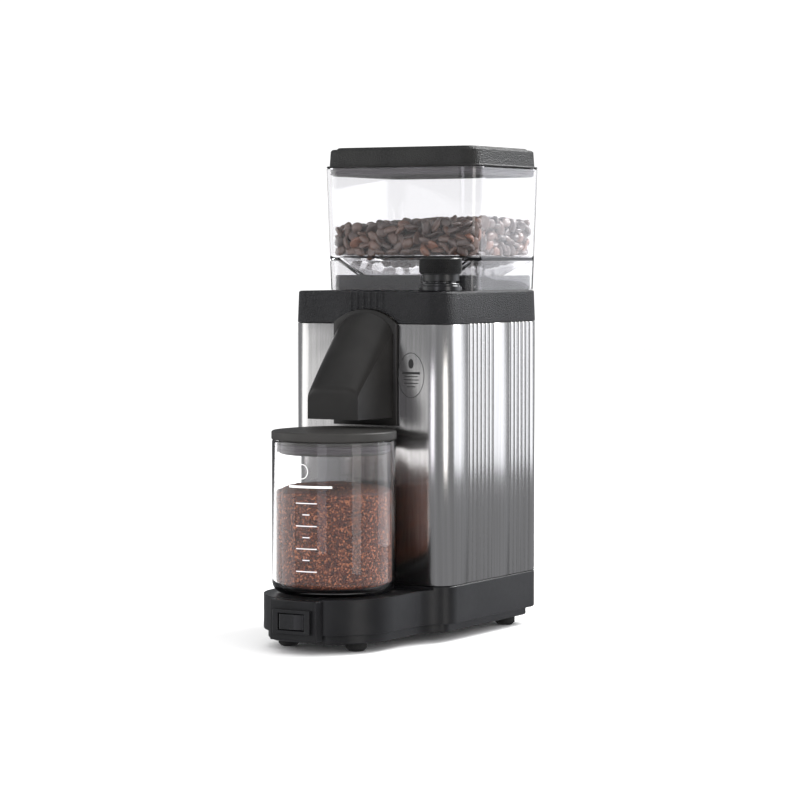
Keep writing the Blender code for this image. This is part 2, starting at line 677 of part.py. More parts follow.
def switch_body():
    """The switch's flange and case, open at the front where the rocker swings."""
    face = DECK_FRONT_Y - SWITCH_PROUD
    flange = switch_block("switch_body", SWITCH_FLANGE_WIDTH, SWITCH_FLANGE_HEIGHT, 0, face,
                          DECK_FRONT_Y - GAP)
    add(flange, switch_block("switch_case", SWITCH_CASE_WIDTH, SWITCH_CASE_HEIGHT, 0,
                             face + SWITCH_PROUD / 2, face + SWITCH_CASE_DEPTH))
    swing = math.hypot(ROCKER_WIDTH / 2 + ROCKER_PIVOT_X, ROCKER_PIVOT_DEPTH) - ROCKER_PIVOT_X
    room_width = 2 * (swing + RUNNING - ROCKER_CLEARANCE)
    cut(flange, switch_block("rocker_room", room_width, ROCKER_HEIGHT, ROCKER_CLEARANCE,
                             face - BEYOND, face + SWITCH_CASE_DEPTH - WALL))


def switch_rocker():
    """Two faces that meet over its pivot. At rest the left one is level and the right one slopes in."""
    face = DECK_FRONT_Y - SWITCH_PROUD + ROCKER_SUNK
    origin = (ROCKER_PIVOT_X, face + ROCKER_PIVOT_DEPTH, SWITCH_Z)
    left, right = -ROCKER_WIDTH / 2, ROCKER_WIDTH / 2
    sunk = (right - origin[0]) * math.tan(ROCKER_TILT)
    heel = face + ROCKER_PIVOT_DEPTH + ROCKER_HEEL
    plan = [(left, face), (origin[0], face), (right, face + sunk), (origin[0] + ROCKER_HEEL, heel),
            (origin[0] - ROCKER_HEEL, heel), (left, face + ROCKER_HEEL)]
    prism("switch_rocker", plan, SWITCH_Z - ROCKER_HEIGHT / 2, SWITCH_Z + ROCKER_HEIGHT / 2,
          black_plastic(), origin)


# ---- Shell, cap and chute
def steel_shell():
    look = steel()
    shell = tube("steel_shell", shell_outline(0), shell_outline(SHEET), BASE_TOP, SHELL_TOP, look)
    half = BEZEL_HALF_WIDTH - BEZEL_RIM + GAP
    cut(shell, block("chute_notch", -half, half, FRONT_Y - BEYOND, FRONT_Y + BEYOND / 2,
                     BEZEL_LOW + BEZEL_RIM - GAP, SHELL_TOP + BEYOND, look))


def boss_outline(inset):
    """The hopper's seat, which the hopper's skirt fits over."""
    shrink = HOPPER_TAPER + HOPPER_WALL + BOSS_CLEARANCE + inset
    return rounded_rectangle(HOPPER_WIDTH / 2 - shrink, HOPPER_DEPTH / 2 - shrink,
                             HOPPER_CORNER - shrink, HOPPER_Y, 6)


def top_cap():
    look = black_plastic()
    under = SHELL_TOP + GAP
    rings = [at_height(cap_outline(-CAP_PROUD), under),
             at_height(cap_outline(CAP_DRAFT - CAP_PROUD), CAP_TOP - EDGE),
             at_height(cap_outline(CAP_DRAFT - CAP_PROUD + EDGE), CAP_TOP)]
    cap = skin("top_cap", rings, look)
    add(cap, prism("boss_block", boss_outline(0), CAP_TOP - WALL, BOSS_TOP, look))
    inside = rounded_rectangle(BODY_WIDTH / 2 - WALL, BODY_DEPTH / 2 - WALL, BODY_CORNER - WALL, BODY_Y, 8)
    notch = arch(BEZEL_HALF_WIDTH + GAP, SHELL_TOP + ARCH_TOP + GAP, SHELL_TOP - BEYOND)
    cut(cap,
        prism("cap_cavity", inside, under - BEYOND, CAP_TOP - WALL, look),
        prism("boss_cavity", boss_outline(WALL), CAP_TOP - 2 * WALL, BOSS_TOP - WALL, look),
        skin("funnel_room", [funnel_ring(share, z - HOPPER_WALL - FUNNEL_ROOM, HOPPER_WALL + FUNNEL_ROOM)
                             for share, z in funnel_stations()], look),
        rod("knob_hole", KNOB_SHAFT_RADIUS + RUNNING, (KNOB_X, KNOB_Y), CAP_TOP - 2 * WALL, CAP_TOP + BEYOND,
            look),
        skin("arch_notch", [at_depth(notch, FRONT_Y - BEYOND), at_depth(notch, FRONT_Y + BEYOND)], look))


def chute_bezel():
    """An arched frame on the body's front, with a sleeve through the steel."""
    top, bottom = SHELL_TOP + ARCH_TOP, BEZEL_LOW
    outer = arch(BEZEL_HALF_WIDTH, top, bottom)
    sleeve = arch(BEZEL_HALF_WIDTH - BEZEL_RIM, top - BEZEL_RIM, bottom + BEZEL_RIM)
    rim = BEZEL_RIM + CHUTE_WALL
    inner = arch(BEZEL_HALF_WIDTH - rim, top - rim, bottom + rim)
    face, back, end = FRONT_Y - BEZEL_PROUD, FRONT_Y - CAP_PROUD - GAP, FRONT_Y + BEZEL_SLEEVE
    rings = [at_depth(outer, face), at_depth(outer, back), at_depth(sleeve, back),
             at_depth(sleeve, end), at_depth(inner, end), at_depth(inner, face)]
    skin("chute_bezel", rings, black_plastic(), loop=True)


def chute_stations():
    """(y, height of the ridge, share of the way to the nose) along the hood, back to front."""
    back_y = FRONT_Y - BEZEL_PROUD - GAP
    nose_y = FRONT_Y - CHUTE_REACH
    ridge = SHELL_TOP + ARCH_TOP - (BEZEL_HALF_WIDTH - CHUTE_BACK_HALF)
    nose_z = CHUTE_LOW + CHUTE_NOSE_HEIGHT
    slope = math.atan2(ridge - nose_z, back_y - nose_y)
    turn = math.pi / 2 - slope
    tangent = CHUTE_NOSE_ROUND * math.tan(turn / 2)
    start = (nose_y + tangent * math.cos(slope), nose_z + tangent * math.sin(slope))
    centre = (nose_y + CHUTE_NOSE_ROUND, nose_z - tangent)
    stations = [(back_y, ridge)]
    for share in (0.25, 0.5, 0.75):
        stations.append((back_y + (start[0] - back_y) * share, ridge + (start[1] - ridge) * share))
    for k in range(5):
        angle = math.pi / 2 + slope + (turn - 0.02) * k / 4
        stations.append((centre[0] + CHUTE_NOSE_ROUND * math.cos(angle),
                         centre[1] + CHUTE_NOSE_ROUND * math.sin(angle)))
    return [(y, z, (back_y - y) / (back_y - nose_y)) for y, z in stations]


def chute_ring(y, ridge, share, inset, bottom):
    """The hood's section: flat sides and a head that goes from an arch at the body to almost flat at the
    nose."""
    half = CHUTE_BACK_HALF + (CHUTE_NOSE_HALF - CHUTE_BACK_HALF) * share - inset
    arched = ARCH_RISE * (1 - share) ** 1.3
    steps = 14
    head = []
    for k in range(steps + 1):
        u = math.cos(math.pi * k / steps)
        head.append((half * u, ridge - inset - arched * u * u - CHUTE_SHOULDER * abs(u) ** 7))
    return [(x, y, z) for x, z in [(-half, bottom), (half, bottom)] + head]


def chute_hood():
    look = black_plastic()
    outer = [chute_ring(y, z, share, 0, CHUTE_LOW) for y, z, share in chute_stations()]
    hood = skin("chute_hood", outer, look)
    stations = chute_stations()
    back_y, ridge, _ = stations[0]
    inner = [chute_ring(back_y + BEYOND, ridge, 0, CHUTE_WALL, CHUTE_LOW - BEYOND)]
    inner += [chute_ring(y + CHUTE_WALL * share, z, share, CHUTE_WALL, CHUTE_LOW - BEYOND)
              for y, z, share in stations]
    cut(hood, skin("hood_inside", inner, look))


# ---- Hopper
def hopper_ring(z, inset=0.0):
    shrink = HOPPER_TAPER * (RIM_Z - z) / HOPPER_HEIGHT + inset
    return at_height(rounded_rectangle(HOPPER_WIDTH / 2 - shrink, HOPPER_DEPTH / 2 - shrink,
                                       HOPPER_CORNER - shrink, HOPPER_Y, 5, 3), z)


def funnel_stations():
    """(share of the way from the floor's ledge to the throat, z), downwards."""
    throat = CAP_TOP + THROAT_TOP
    drop = FLOOR_Z - throat
    return [(0, FLOOR_Z), (0.4, FLOOR_Z - 0.45 * drop), (0.75, FLOOR_Z - 0.8 * drop), (1, throat),
            (1, CAP_TOP - THROAT_END)]


def funnel_ring(share, z, grow=0.0):
    """Between the ledge's rounded rectangle, at share 0, and the throat's circle, at share 1."""
    ledge = hopper_ring(FLOOR_Z, HOPPER_WALL + HOPPER_LEDGE - grow)
    ring = []
    for x, y, _ in ledge:
        angle = math.atan2(y - HOPPER_Y, x)
        tx = (THROAT_RADIUS + grow) * math.cos(angle)
        ty = BURR_Y + (THROAT_RADIUS + grow) * math.sin(angle)
        ring.append((x + (tx - x) * share, y + (ty - y) * share, z))
    return ring


def hopper_bin():
    """Clear bin: skirt over the boss, floor with a funnel, and walls that widen to the rim."""
    under = CAP_TOP + GAP
    inside = [funnel_ring(share, z) for share, z in funnel_stations()]
    outside = [funnel_ring(share, z - HOPPER_WALL, HOPPER_WALL) for share, z in funnel_stations()[:-1]]
    outside.append(funnel_ring(1, CAP_TOP - THROAT_END, HOPPER_WALL))
    rings = [hopper_ring(under), hopper_ring(RIM_Z), hopper_ring(RIM_Z, HOPPER_WALL),
             hopper_ring(FLOOR_Z, HOPPER_WALL)] + inside + outside[::-1]
    rings += [hopper_ring(FLOOR_Z - HOPPER_WALL, HOPPER_WALL), hopper_ring(under, HOPPER_WALL)]
    skin("hopper_bin", rings, clear_plastic(), loop=True)


def hopper_lid():
    seat = RIM_Z + GAP
    deep = RIM_Z - LID_PLUG_DEPTH
    flange = seat + LID_FLANGE
    shelf = TOP_Z - LID_STEP
    profile = [(LID_PLUG_INSET + WALL, shelf - WALL), (LID_PLUG_INSET + WALL, deep), (LID_PLUG_INSET, deep),
               (LID_PLUG_INSET, seat), (0, seat), (0, flange), (LID_BODY_INSET, flange),
               (LID_BODY_INSET + EDGE, shelf - EDGE), (LID_BODY_INSET + 2 * EDGE, shelf),
               (LID_BODY_INSET + LID_SHELF_WIDTH, shelf), (LID_BODY_INSET + LID_SHELF_WIDTH + EDGE, TOP_Z)]
    rings = []
    for inset, z in profile:
        rings.append([(x, y, z) for x, y, _ in hopper_ring(RIM_Z, inset)])
    skin("hopper_lid", rings, black_plastic())
    outer = [(x, y) for x, y, _ in hopper_ring(RIM_Z, HOPPER_WALL + LID_SEAL_CLEARANCE)]
    inner = [(x, y) for x, y, _ in hopper_ring(RIM_Z, LID_PLUG_INSET - GAP)]
    seal_low = deep + LID_SEAL_MARGIN
    tube("hopper_lid_seal", outer, inner, seal_low, seal_low + LID_SEAL_HEIGHT, rubber())


# ---- Jar
def jar():
    centre = (0, JAR_Y)
    low = DECK_Z + GAP
    outer = [(JAR_RADIUS - JAR_CORNER + r, low + z) for r, z in
             [(0, 0)] + [(JAR_CORNER * math.sin(a), JAR_CORNER * (1 - math.cos(a)))
                         for a in (math.pi / 8, math.pi / 4, 3 * math.pi / 8, math.pi / 2)]]
    bore = JAR_RADIUS - JAR_WALL
    floor = low + JAR_FLOOR
    inner_round = JAR_CORNER - JAR_WALL
    corner_step = inner_round * (1 - math.sqrt(0.5))
    profile = outer + [(JAR_RADIUS, JAR_RIM), (bore, JAR_RIM), (bore, floor + inner_round),
                       (bore - corner_step, floor + corner_step), (bore - inner_round, floor)]
    turned("jar_glass", profile, centre, glass(), 36)

    seat = JAR_RIM + GAP
    deep = JAR_RIM - JAR_PLUG_DEPTH
    plug_bore = JAR_PLUG_RADIUS - WALL
    dome_foot = JAR_LID_RADIUS - EDGE
    profile = [(plug_bore, JAR_LID_TOP - WALL), (plug_bore, deep), (JAR_PLUG_RADIUS, deep),
               (JAR_PLUG_RADIUS, seat), (JAR_LID_RADIUS, seat), (JAR_LID_RADIUS, JAR_LID_TOP - EDGE)]
    for share in (1, 0.8, 0.6, 0.4, 0.2):
        profile.append((dome_foot * share, JAR_LID_TOP + JAR_LID_DOME * (1 - share ** 2)))
    lid = turned("jar_lid", profile, centre, lid_plastic(), 36, origin=(0, JAR_Y, seat))
    cut(lid, rod("jar_lid_hole", JAR_HOLE_RADIUS, (0, JAR_HOLE_Y), JAR_LID_TOP - 2 * WALL,
                 JAR_LID_TOP + BEYOND, lid_plastic(), 24))
    fin, root = bore - RUNNING, JAR_PLUG_RADIUS + GAP
    web, first = root + EDGE, deep + JAR_SEAL_ABOVE
    second, third, top = (first + k * JAR_SEAL_PITCH for k in (1, 2, 3))
    profile = [(root, first), (fin, first), (fin - GAP, second), (web, second), (web, third), (fin, third),
               (fin - GAP, top), (root, top)]
    turned("jar_lid_seal", profile, centre, rubber(), 28, loop=True, origin=(0, JAR_Y, seat))


# ---- Knob and grind adjustment
def knob_parts():
    centre = (KNOB_X, KNOB_Y)
    base = KNOB_COLLAR_TOP + GAP
    top = KNOB_GRIP_Z + KNOB_GRIP_HEIGHT
    skirt = KNOB_COLLAR_TOP + KNOB_NECK_HEIGHT
    bore = KNOB_SHAFT_RADIUS + GAP
    profile = [(bore, base), (KNOB_NECK_RADIUS, base), (KNOB_NECK_RADIUS, skirt), (KNOB_SKIRT_RADIUS, skirt),
               (KNOB_SKIRT_RADIUS, KNOB_GRIP_Z), (KNOB_RADIUS - EDGE, KNOB_GRIP_Z),
               (KNOB_RADIUS, KNOB_GRIP_Z + EDGE), (KNOB_RADIUS, top - EDGE), (KNOB_RADIUS - EDGE, top),
               (bore, top)]
    origin = (KNOB_X, KNOB_Y, base)
    turned("grind_knob", profile, centre, black_plastic(), 28, loop=True, origin=origin)
    washer("knob_collar", KNOB_RADIUS, KNOB_SHAFT_RADIUS + RUNNING, centre, CAP_TOP + GAP, KNOB_COLLAR_TOP,
           black_plastic(), 28)
    rod("knob_shaft", KNOB_SHAFT_RADIUS, centre, ADJUST_RING_Z - KNOB_SHAFT_BELOW, top - KNOB_SHAFT_BELOW,
        machined(), 16, origin)


def adjust_centres():
    """(distance, angle) from the knob's axis to the burrs' axis."""
    dx, dy = -KNOB_X, BURR_Y - KNOB_Y
    return math.hypot(dx, dy), math.atan2(dy, dx)


def gear(name, teeth, module, centre, phase, bore, z0, z1, look, segments=16):
    wheel = prism(name, gear_outline(teeth, module, centre, phase), z0, z1, look, (*centre, z0))
    cut(wheel, rod(f"{name}_bore", bore, centre, z0 - BEYOND, z1 + BEYOND, look, segments))


def adjust_gears():
    distance, towards = adjust_centres()
    module = 2 * distance / (ADJUST_PINION_TEETH + ADJUST_RING_TEETH)
    low, high = ADJUST_RING_Z, ADJUST_RING_Z + ADJUST_GEAR_HEIGHT
    gear("knob_pinion", ADJUST_PINION_TEETH, module, (KNOB_X, KNOB_Y), towards,
         KNOB_SHAFT_RADIUS + GAP, low, high, gear_plastic())
    ring_phase = towards + math.pi + math.pi / ADJUST_RING_TEETH
    gear("adjust_ring", ADJUST_RING_TEETH, module, (0, BURR_Y), ring_phase, CARRIER_RADIUS + RUNNING, low, high,
         gear_plastic(), 28)


def upper_burr_parts():
    centre = (0, BURR_Y)
    seat = UPPER_BURR_Z + GAP
    throat = THROAT_RADIUS + HOPPER_WALL + THROAT_CLEARANCE
    top = ADJUST_RING_Z + ADJUST_GEAR_HEIGHT + CARRIER_ABOVE_RING
    mouth = CAP_TOP - THROAT_END - CARRIER_BELOW_THROAT
    bore = BURR_BORE + BURR_SEAT_LIP
    profile = [(bore, seat), (CARRIER_RADIUS, seat), (CARRIER_RADIUS, top), (throat, top), (throat, mouth),
               (bore, mouth - WALL)]
    turned("upper_burr_carrier", profile, centre, cast_aluminium(), 28, loop=True, origin=(0, BURR_Y, seat))
    burr("upper_burr", UPPER_BURR_Z - BURR_THICKNESS, UPPER_BURR_Z, False)


def burr(name, z0, z1, teeth_up):
    """A flat burr: a steel ring whose working face slopes in to the bore."""
    land = BURR_RADIUS - BURR_LAND
    if teeth_up:
        profile = [(BURR_BORE, z0), (BURR_RADIUS, z0), (BURR_RADIUS, z1), (land, z1),
                   (BURR_BORE, z1 - BURR_SLOPE)]
    else:
        profile = [(BURR_BORE, z0 + BURR_SLOPE), (land, z0), (BURR_RADIUS, z0), (BURR_RADIUS, z1),
                   (BURR_BORE, z1)]
    turned(name, profile, (0, BURR_Y), machined(), 28, loop=True, origin=(0, BURR_Y, z0))


# ---- Chamber, shafts and drive
def grind_chamber():
    look = cast_aluminium()
    centre = (0, BURR_Y)
    foot, top, floor = PLATE_Z + GAP, ADJUST_RING_Z - GAP, CHAMBER_FLOOR_Z
    inner = CHAMBER_RADIUS - CHAMBER_WALL
    under = floor - CHAMBER_SLAB
    seat = BEARING_RADIUS + GAP
    shaft = BURR_SHAFT_RADIUS + 2 * RUNNING
    seat_top = floor - CHAMBER_WALL
    seat_end = seat_top - BEARING_HEIGHT
    profile = [(CHAMBER_RADIUS, foot), (CHAMBER_RADIUS, top), (inner, top), (inner, floor), (shaft, floor),
               (shaft, seat_top), (seat, seat_top), (seat, seat_end), (seat + CHAMBER_WALL, seat_end),
               (seat + CHAMBER_WALL, under), (inner, under), (inner, foot)]
    chamber = turned("grind_chamber", profile, centre, look, 28, loop=True)
    duct_low = floor - DUCT_FLOOR
    duct_high = duct_low + DUCT_HEIGHT
    duct_end = FRONT_Y + BEZEL_SLEEVE + GAP
    mid_wall = math.sqrt((inner + CHAMBER_WALL / 2) ** 2 - DUCT_HALF_WIDTH ** 2)
    add(chamber, block("duct_block", -DUCT_HALF_WIDTH, DUCT_HALF_WIDTH, duct_end, BURR_Y - mid_wall,
                       duct_low, duct_high, look))
    cut(chamber,
        block("duct_inside", -DUCT_HALF_WIDTH + WALL, DUCT_HALF_WIDTH - WALL, duct_end - BEYOND,
              BURR_Y - inner + BEYOND / 2, floor, duct_high - WALL, look),
        block("pinion_opening", -PINION_OPENING_HALF, PINION_OPENING_HALF, BURR_Y + inner - BEYOND,
              BURR_Y + CHAMBER_RADIUS + BEYOND, foot - BEYOND, foot + PINION_OPENING_HEIGHT, look))
    bearing("burr_bearing_upper", centre, seat_end + GAP)
    bearing("burr_bearing_lower", centre, PLATE_UNDER)


def bearing(name, centre, z0):
    washer(name, BEARING_RADIUS, BURR_SHAFT_RADIUS + RUNNING, centre, z0, z0 + BEARING_HEIGHT - 2 * GAP,
           machined(), 20)


def blade(name, centre, angle, lean, root, tip, thickness, z0, z1, look):
    """An upright plate from the root radius, at angle, to the tip radius, at angle + lean."""
    leant = angle + lean
    x0, y0 = centre[0] + root * math.cos(angle), centre[1] + root * math.sin(angle)
    x1, y1 = centre[0] + tip * math.cos(leant), centre[1] + tip * math.sin(leant)
    dx, dy = -math.sin(leant) * thickness / 2, math.cos(leant) * thickness / 2
    plan = [(x0 + dx, y0 + dy), (x0 - dx, y0 - dy), (x1 - dx, y1 - dy), (x1 + dx, y1 + dy)]
    return prism(name, plan, z0, z1, look)


def lower_burr_parts():
    """What turns with the burr shaft."""
    centre = (0, BURR_Y)
    shaft_low = PLATE_UNDER + GAP
    disc_top = LOWER_BURR_Z - BURR_THICKNESS - GAP
    disc_low = disc_top - DISC_THICKNESS
    origin = (0, BURR_Y, disc_low)
    bore = BURR_SHAFT_RADIUS + GAP
    disc_radius = BURR_RADIUS + DISC_RIM
    look = cast_aluminium()
    disc = washer("lower_burr_carrier", disc_radius, bore, centre, disc_low, disc_top, look, 32, origin)
    root, reach = disc_radius - CHAMBER_WALL, CHAMBER_RADIUS - CHAMBER_WALL - PADDLE_CLEARANCE
    for k in range(PADDLES):
        add(disc, blade(f"paddle_{k}", centre, 2 * math.pi * k / PADDLES, 0, root, reach, PADDLE_THICKNESS,
                        disc_low - DUCT_FLOOR, disc_top - PADDLE_CLEARANCE, look))
    burr("lower_burr", disc_top + GAP, LOWER_BURR_Z, True)
    rod("burr_shaft", BURR_SHAFT_RADIUS, centre, shaft_low, disc_top + SHAFT_ABOVE_DISC, machined(), 16,
        (0, BURR_Y, shaft_low))


def drive_gears():
    low = PLATE_Z + BEARING_HEIGHT
    high = low + DRIVE_GEAR_HEIGHT
    gear("motor_pinion", MOTOR_PINION_TEETH, DRIVE_MODULE, (0, MOTOR_Y), -math.pi / 2, MOTOR_SHAFT_RADIUS + GAP,
         low, high, machined())
    wheel_phase = math.pi / 2 + math.pi / DRIVE_GEAR_TEETH
    gear("drive_gear", DRIVE_GEAR_TEETH, DRIVE_MODULE, (0, BURR_Y), wheel_phase, BURR_SHAFT_RADIUS + GAP,
         low, high, gear_plastic())


def gear_plate():
    look = machined()
    inset = SHEET + FLUTE_DEPTH + PLATE_CLEARANCE
    plan = rounded_rectangle(BODY_WIDTH / 2 - inset, BODY_DEPTH / 2 - inset, BODY_CORNER - inset, BODY_Y, 4)
    plate = prism("gear_plate", plan, PLATE_UNDER, PLATE_Z, look)
    low, high = PLATE_UNDER - BEYOND, PLATE_Z + BEYOND
    cut(plate,
        rod("plate_bearing_hole", BEARING_RADIUS + GAP, (0, BURR_Y), low, high, look, 20),
        rod("plate_shaft_hole", MOTOR_SHAFT_RADIUS + PLATE_SHAFT_CLEARANCE, (0, MOTOR_Y), low, high, look, 16),
        block("sleeve_room", -BEZEL_HALF_WIDTH, BEZEL_HALF_WIDTH, FRONT_Y - BEYOND,
              FRONT_Y + BEZEL_SLEEVE + GAP, BEZEL_LOW, SHELL_TOP, look))
    for side_x in (-1, 1):
        for side_y, end in ((-1, "front"), (1, "rear")):
            centre = (side_x * (BODY_WIDTH / 2 - POST_FROM_SIDE),
                      BODY_Y + side_y * (BODY_DEPTH / 2 - POST_FROM_FACE))
            name = f"chassis_post_{end}_{'left' if side_x < 0 else 'right'}"
            rod(name, POST_ROD_RADIUS, centre, DECK_Z + GAP, PLATE_UNDER - GAP, machined(), 12)


# ---- Motor
def motor():
    centre = (0, MOTOR_Y)
    washer("motor_stator", STATOR_RADIUS, STATOR_BORE, centre, STATOR_BOTTOM, STATOR_TOP, machined(), 24)
    bore = MOTOR_SHAFT_RADIUS + PLATE_SHAFT_CLEARANCE
    seat = BEARING_RADIUS + GAP
    for name, inner_z, outer_z in (("upper", STATOR_TOP + GAP, STATOR_TOP + BRACKET_HEIGHT),
                                   ("lower", STATOR_BOTTOM - GAP, STATOR_BOTTOM - BRACKET_HEIGHT)):
        way = 1 if outer_z > inner_z else -1
        web = outer_z - way * BRACKET_WALL
        bearing_end = web - way * BEARING_HEIGHT
        profile = [(STATOR_RADIUS, inner_z), (STATOR_RADIUS, outer_z), (bore, outer_z), (bore, web),
                   (seat, web), (seat, bearing_end), (seat + BRACKET_WALL, bearing_end),
                   (seat + BRACKET_WALL, web), (STATOR_RADIUS - BRACKET_WALL, web),
                   (STATOR_RADIUS - BRACKET_WALL, inner_z)]
        turned(f"motor_bracket_{name}", profile, centre, cast_aluminium(), 24, loop=True)
        bearing(f"motor_bearing_{name}", centre, min(web, bearing_end) + GAP)
    fan_low = FAN_TOP - FAN_HEIGHT
    shaft_low = fan_low - MOTOR_SHAFT_END
    origin = (0, MOTOR_Y, shaft_low)
    rod("motor_shaft", MOTOR_SHAFT_RADIUS, centre, shaft_low,
        PLATE_Z + BEARING_HEIGHT + DRIVE_GEAR_HEIGHT + MOTOR_SHAFT_END, machined(), 16, origin)
    washer("motor_rotor", ROTOR_RADIUS, MOTOR_SHAFT_RADIUS + GAP, centre, STATOR_BOTTOM + MOTOR_SHAFT_END,
           STATOR_TOP - MOTOR_SHAFT_END, machined(), 28, origin)
    fan = washer("cooling_fan", FAN_HUB_RADIUS, MOTOR_SHAFT_RADIUS + GAP, centre, fan_low, FAN_TOP,
                 gear_plastic(), 20, origin)
    root = FAN_HUB_RADIUS - FAN_BLADE_THICKNESS
    for k in range(FAN_BLADES):
        add(fan, blade(f"blade_{k}", centre, 2 * math.pi * k / FAN_BLADES, FAN_BLADE_LEAN, root, FAN_RADIUS,
                       FAN_BLADE_THICKNESS, fan_low + EDGE, FAN_TOP - EDGE, gear_plastic()))


def electrics():
    stand = DECK_Z + GAP
    rod("motor_capacitor", CAPACITOR_RADIUS, (CAPACITOR_X, FRONT_Y + CAPACITOR_FROM_FRONT), stand,
        stand + CAPACITOR_HEIGHT, cast_aluminium(), 20)
    middle, top = FRONT_Y + TERMINAL_FROM_FRONT, stand + TERMINAL_HEIGHT
    terminal = block("terminal_block", TERMINAL_X - TERMINAL_WIDTH / 2, TERMINAL_X + TERMINAL_WIDTH / 2,
                     middle - TERMINAL_DEPTH / 2, middle + TERMINAL_DEPTH / 2, stand, top, gear_plastic())
    for k in range(TERMINAL_WELLS):
        x = TERMINAL_X + (k - (TERMINAL_WELLS - 1) / 2) * TERMINAL_WIDTH / TERMINAL_WELLS
        cut(terminal, rod(f"terminal_well_{k}", TERMINAL_WELL_RADIUS, (x, middle), top - TERMINAL_HEIGHT / 2,
                          top + BEYOND, gear_plastic(), 10))


def clear_scene():
    for old in list(bpy.data.objects):
        bpy.data.objects.remove(old)


def main():
    clear_scene()
    base_tray()
    bottom_cover()
    feet_and_screws()
    cord_gland()
    switch_panel()
    switch_body()
    switch_rocker()
    steel_shell()
    top_cap()
    chute_bezel()
    chute_hood()
    hopper_bin()
    hopper_lid()
    jar()
    knob_parts()
    adjust_gears()
    upper_burr_parts()
    grind_chamber()
    lower_burr_parts()
    drive_gears()
    gear_plate()
    motor()
    electrics()


main()
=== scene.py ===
"""Burr coffee grinder: its finished look, built round the CAD model. Metres, +Z up, the front towards -Y."""

import math

import bmesh
import bpy
import numpy as np
from mathutils import Matrix, Vector


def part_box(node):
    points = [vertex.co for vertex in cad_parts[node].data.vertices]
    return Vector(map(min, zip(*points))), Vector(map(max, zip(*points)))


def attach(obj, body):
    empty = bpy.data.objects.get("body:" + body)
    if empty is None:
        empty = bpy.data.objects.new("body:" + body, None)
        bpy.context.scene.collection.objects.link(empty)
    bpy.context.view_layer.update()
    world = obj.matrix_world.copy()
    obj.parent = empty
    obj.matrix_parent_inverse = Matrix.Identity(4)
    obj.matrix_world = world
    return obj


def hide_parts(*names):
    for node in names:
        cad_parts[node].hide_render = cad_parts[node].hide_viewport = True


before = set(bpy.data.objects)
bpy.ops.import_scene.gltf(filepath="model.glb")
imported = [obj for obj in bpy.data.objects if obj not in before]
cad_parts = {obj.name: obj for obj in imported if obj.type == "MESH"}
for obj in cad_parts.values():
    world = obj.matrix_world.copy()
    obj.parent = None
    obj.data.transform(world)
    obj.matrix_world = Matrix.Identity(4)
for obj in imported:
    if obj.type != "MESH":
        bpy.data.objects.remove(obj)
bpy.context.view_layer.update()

# ---- Places read from the frame
SHELL_LOW, SHELL_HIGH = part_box("steel_shell")
CAP_LOW, CAP_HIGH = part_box("top_cap")
TRAY_LOW, TRAY_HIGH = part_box("base_tray")
COVER_LOW, COVER_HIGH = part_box("bottom_cover")
BEZEL_LOW, BEZEL_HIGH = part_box("chute_bezel")
HOOD_LOW, HOOD_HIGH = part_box("chute_hood")
JAR_LOW, JAR_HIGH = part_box("jar_glass")
JAR_LID_LOW, JAR_LID_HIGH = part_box("jar_lid")
JAR_SEAL_LOW, JAR_SEAL_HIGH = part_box("jar_lid_seal")
BIN_LOW, BIN_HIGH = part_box("hopper_bin")
LID_LOW, LID_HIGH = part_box("hopper_lid")
LID_SEAL_LOW, LID_SEAL_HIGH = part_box("hopper_lid_seal")
KNOB_LOW, KNOB_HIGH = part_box("grind_knob")
COLLAR_LOW, COLLAR_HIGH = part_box("knob_collar")
PANEL_LOW, PANEL_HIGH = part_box("switch_panel")
SWITCH_LOW, SWITCH_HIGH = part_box("switch_body")
ROCKER_LOW, ROCKER_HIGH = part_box("switch_rocker")

FRONT_Y, REAR_Y = SHELL_LOW.y, SHELL_HIGH.y
HALF_WIDTH = SHELL_HIGH.x
BODY_Y = (FRONT_Y + REAR_Y) / 2
BASE_TOP, SHELL_TOP = SHELL_LOW.z, SHELL_HIGH.z
JAR_Y = (JAR_LOW.y + JAR_HIGH.y) / 2
HOPPER_Y = (BIN_LOW.y + BIN_HIGH.y) / 2
RIM_Z = BIN_HIGH.z
KNOB_X, KNOB_Y = (KNOB_LOW.x + KNOB_HIGH.x) / 2, (KNOB_LOW.y + KNOB_HIGH.y) / 2

# ---- Sizes of what the frame's boxes don't say
GAP = 0.0003
BEYOND = 0.01  # of a cutter past what it cuts
WALL = 0.0025  # of the moulded pieces
BODY_CORNER = 0.0170
SHEET = 0.0010
FLUTE_PITCH, FLUTE_WIDTH, FLUTE_DEPTH = 0.0059, 0.0030, 0.0007
VENT_PITCH, VENT_HALF = 0.0085, 0.00175
FLUTES_PER_GROUP, FLUTES_FROM_FRONT, FLUTE_BAND = 7, 0.0337, 0.0270
DECK_DROP = 0.0027
DECK_RADIUS, DECK_FILLET = 0.0493, 0.0240
COVER_BODY_INSET, COVER_DECK_INSET, COVER_HEIGHT = 0.0062, 0.0032, 0.0060
CAP_TOP = SHELL_TOP + 0.0231
FLOOR_Z = CAP_TOP + 0.0240
CAP_RIBS, CAP_RIB_PITCH, CAP_RIB_WIDTH = 6, 0.0052, 0.0020
ARCH_RISE = 0.0100
KNOB_BORE = 0.0043
BEZEL_RIM, CHUTE_WALL = 0.0038, 0.0022
NOSE_HALF, NOSE_TOP, NOSE_ROUND = 0.0205, SHELL_TOP - 0.0450, 0.0090
HOPPER_CORNER, HOPPER_TAPER, HOPPER_WALL = 0.0160, 0.0033, 0.0022
BOSS_TOP = CAP_HIGH.z
THROAT_RADIUS, BURR_Y = 0.0140, 0.0436
JAR_WALL, JAR_FLOOR, JAR_CORNER = 0.0024, 0.0040, 0.0080
JAR_LID_DOME = 0.0024
BEAN_REACH = 0.0042  # of its middle from what it lies against
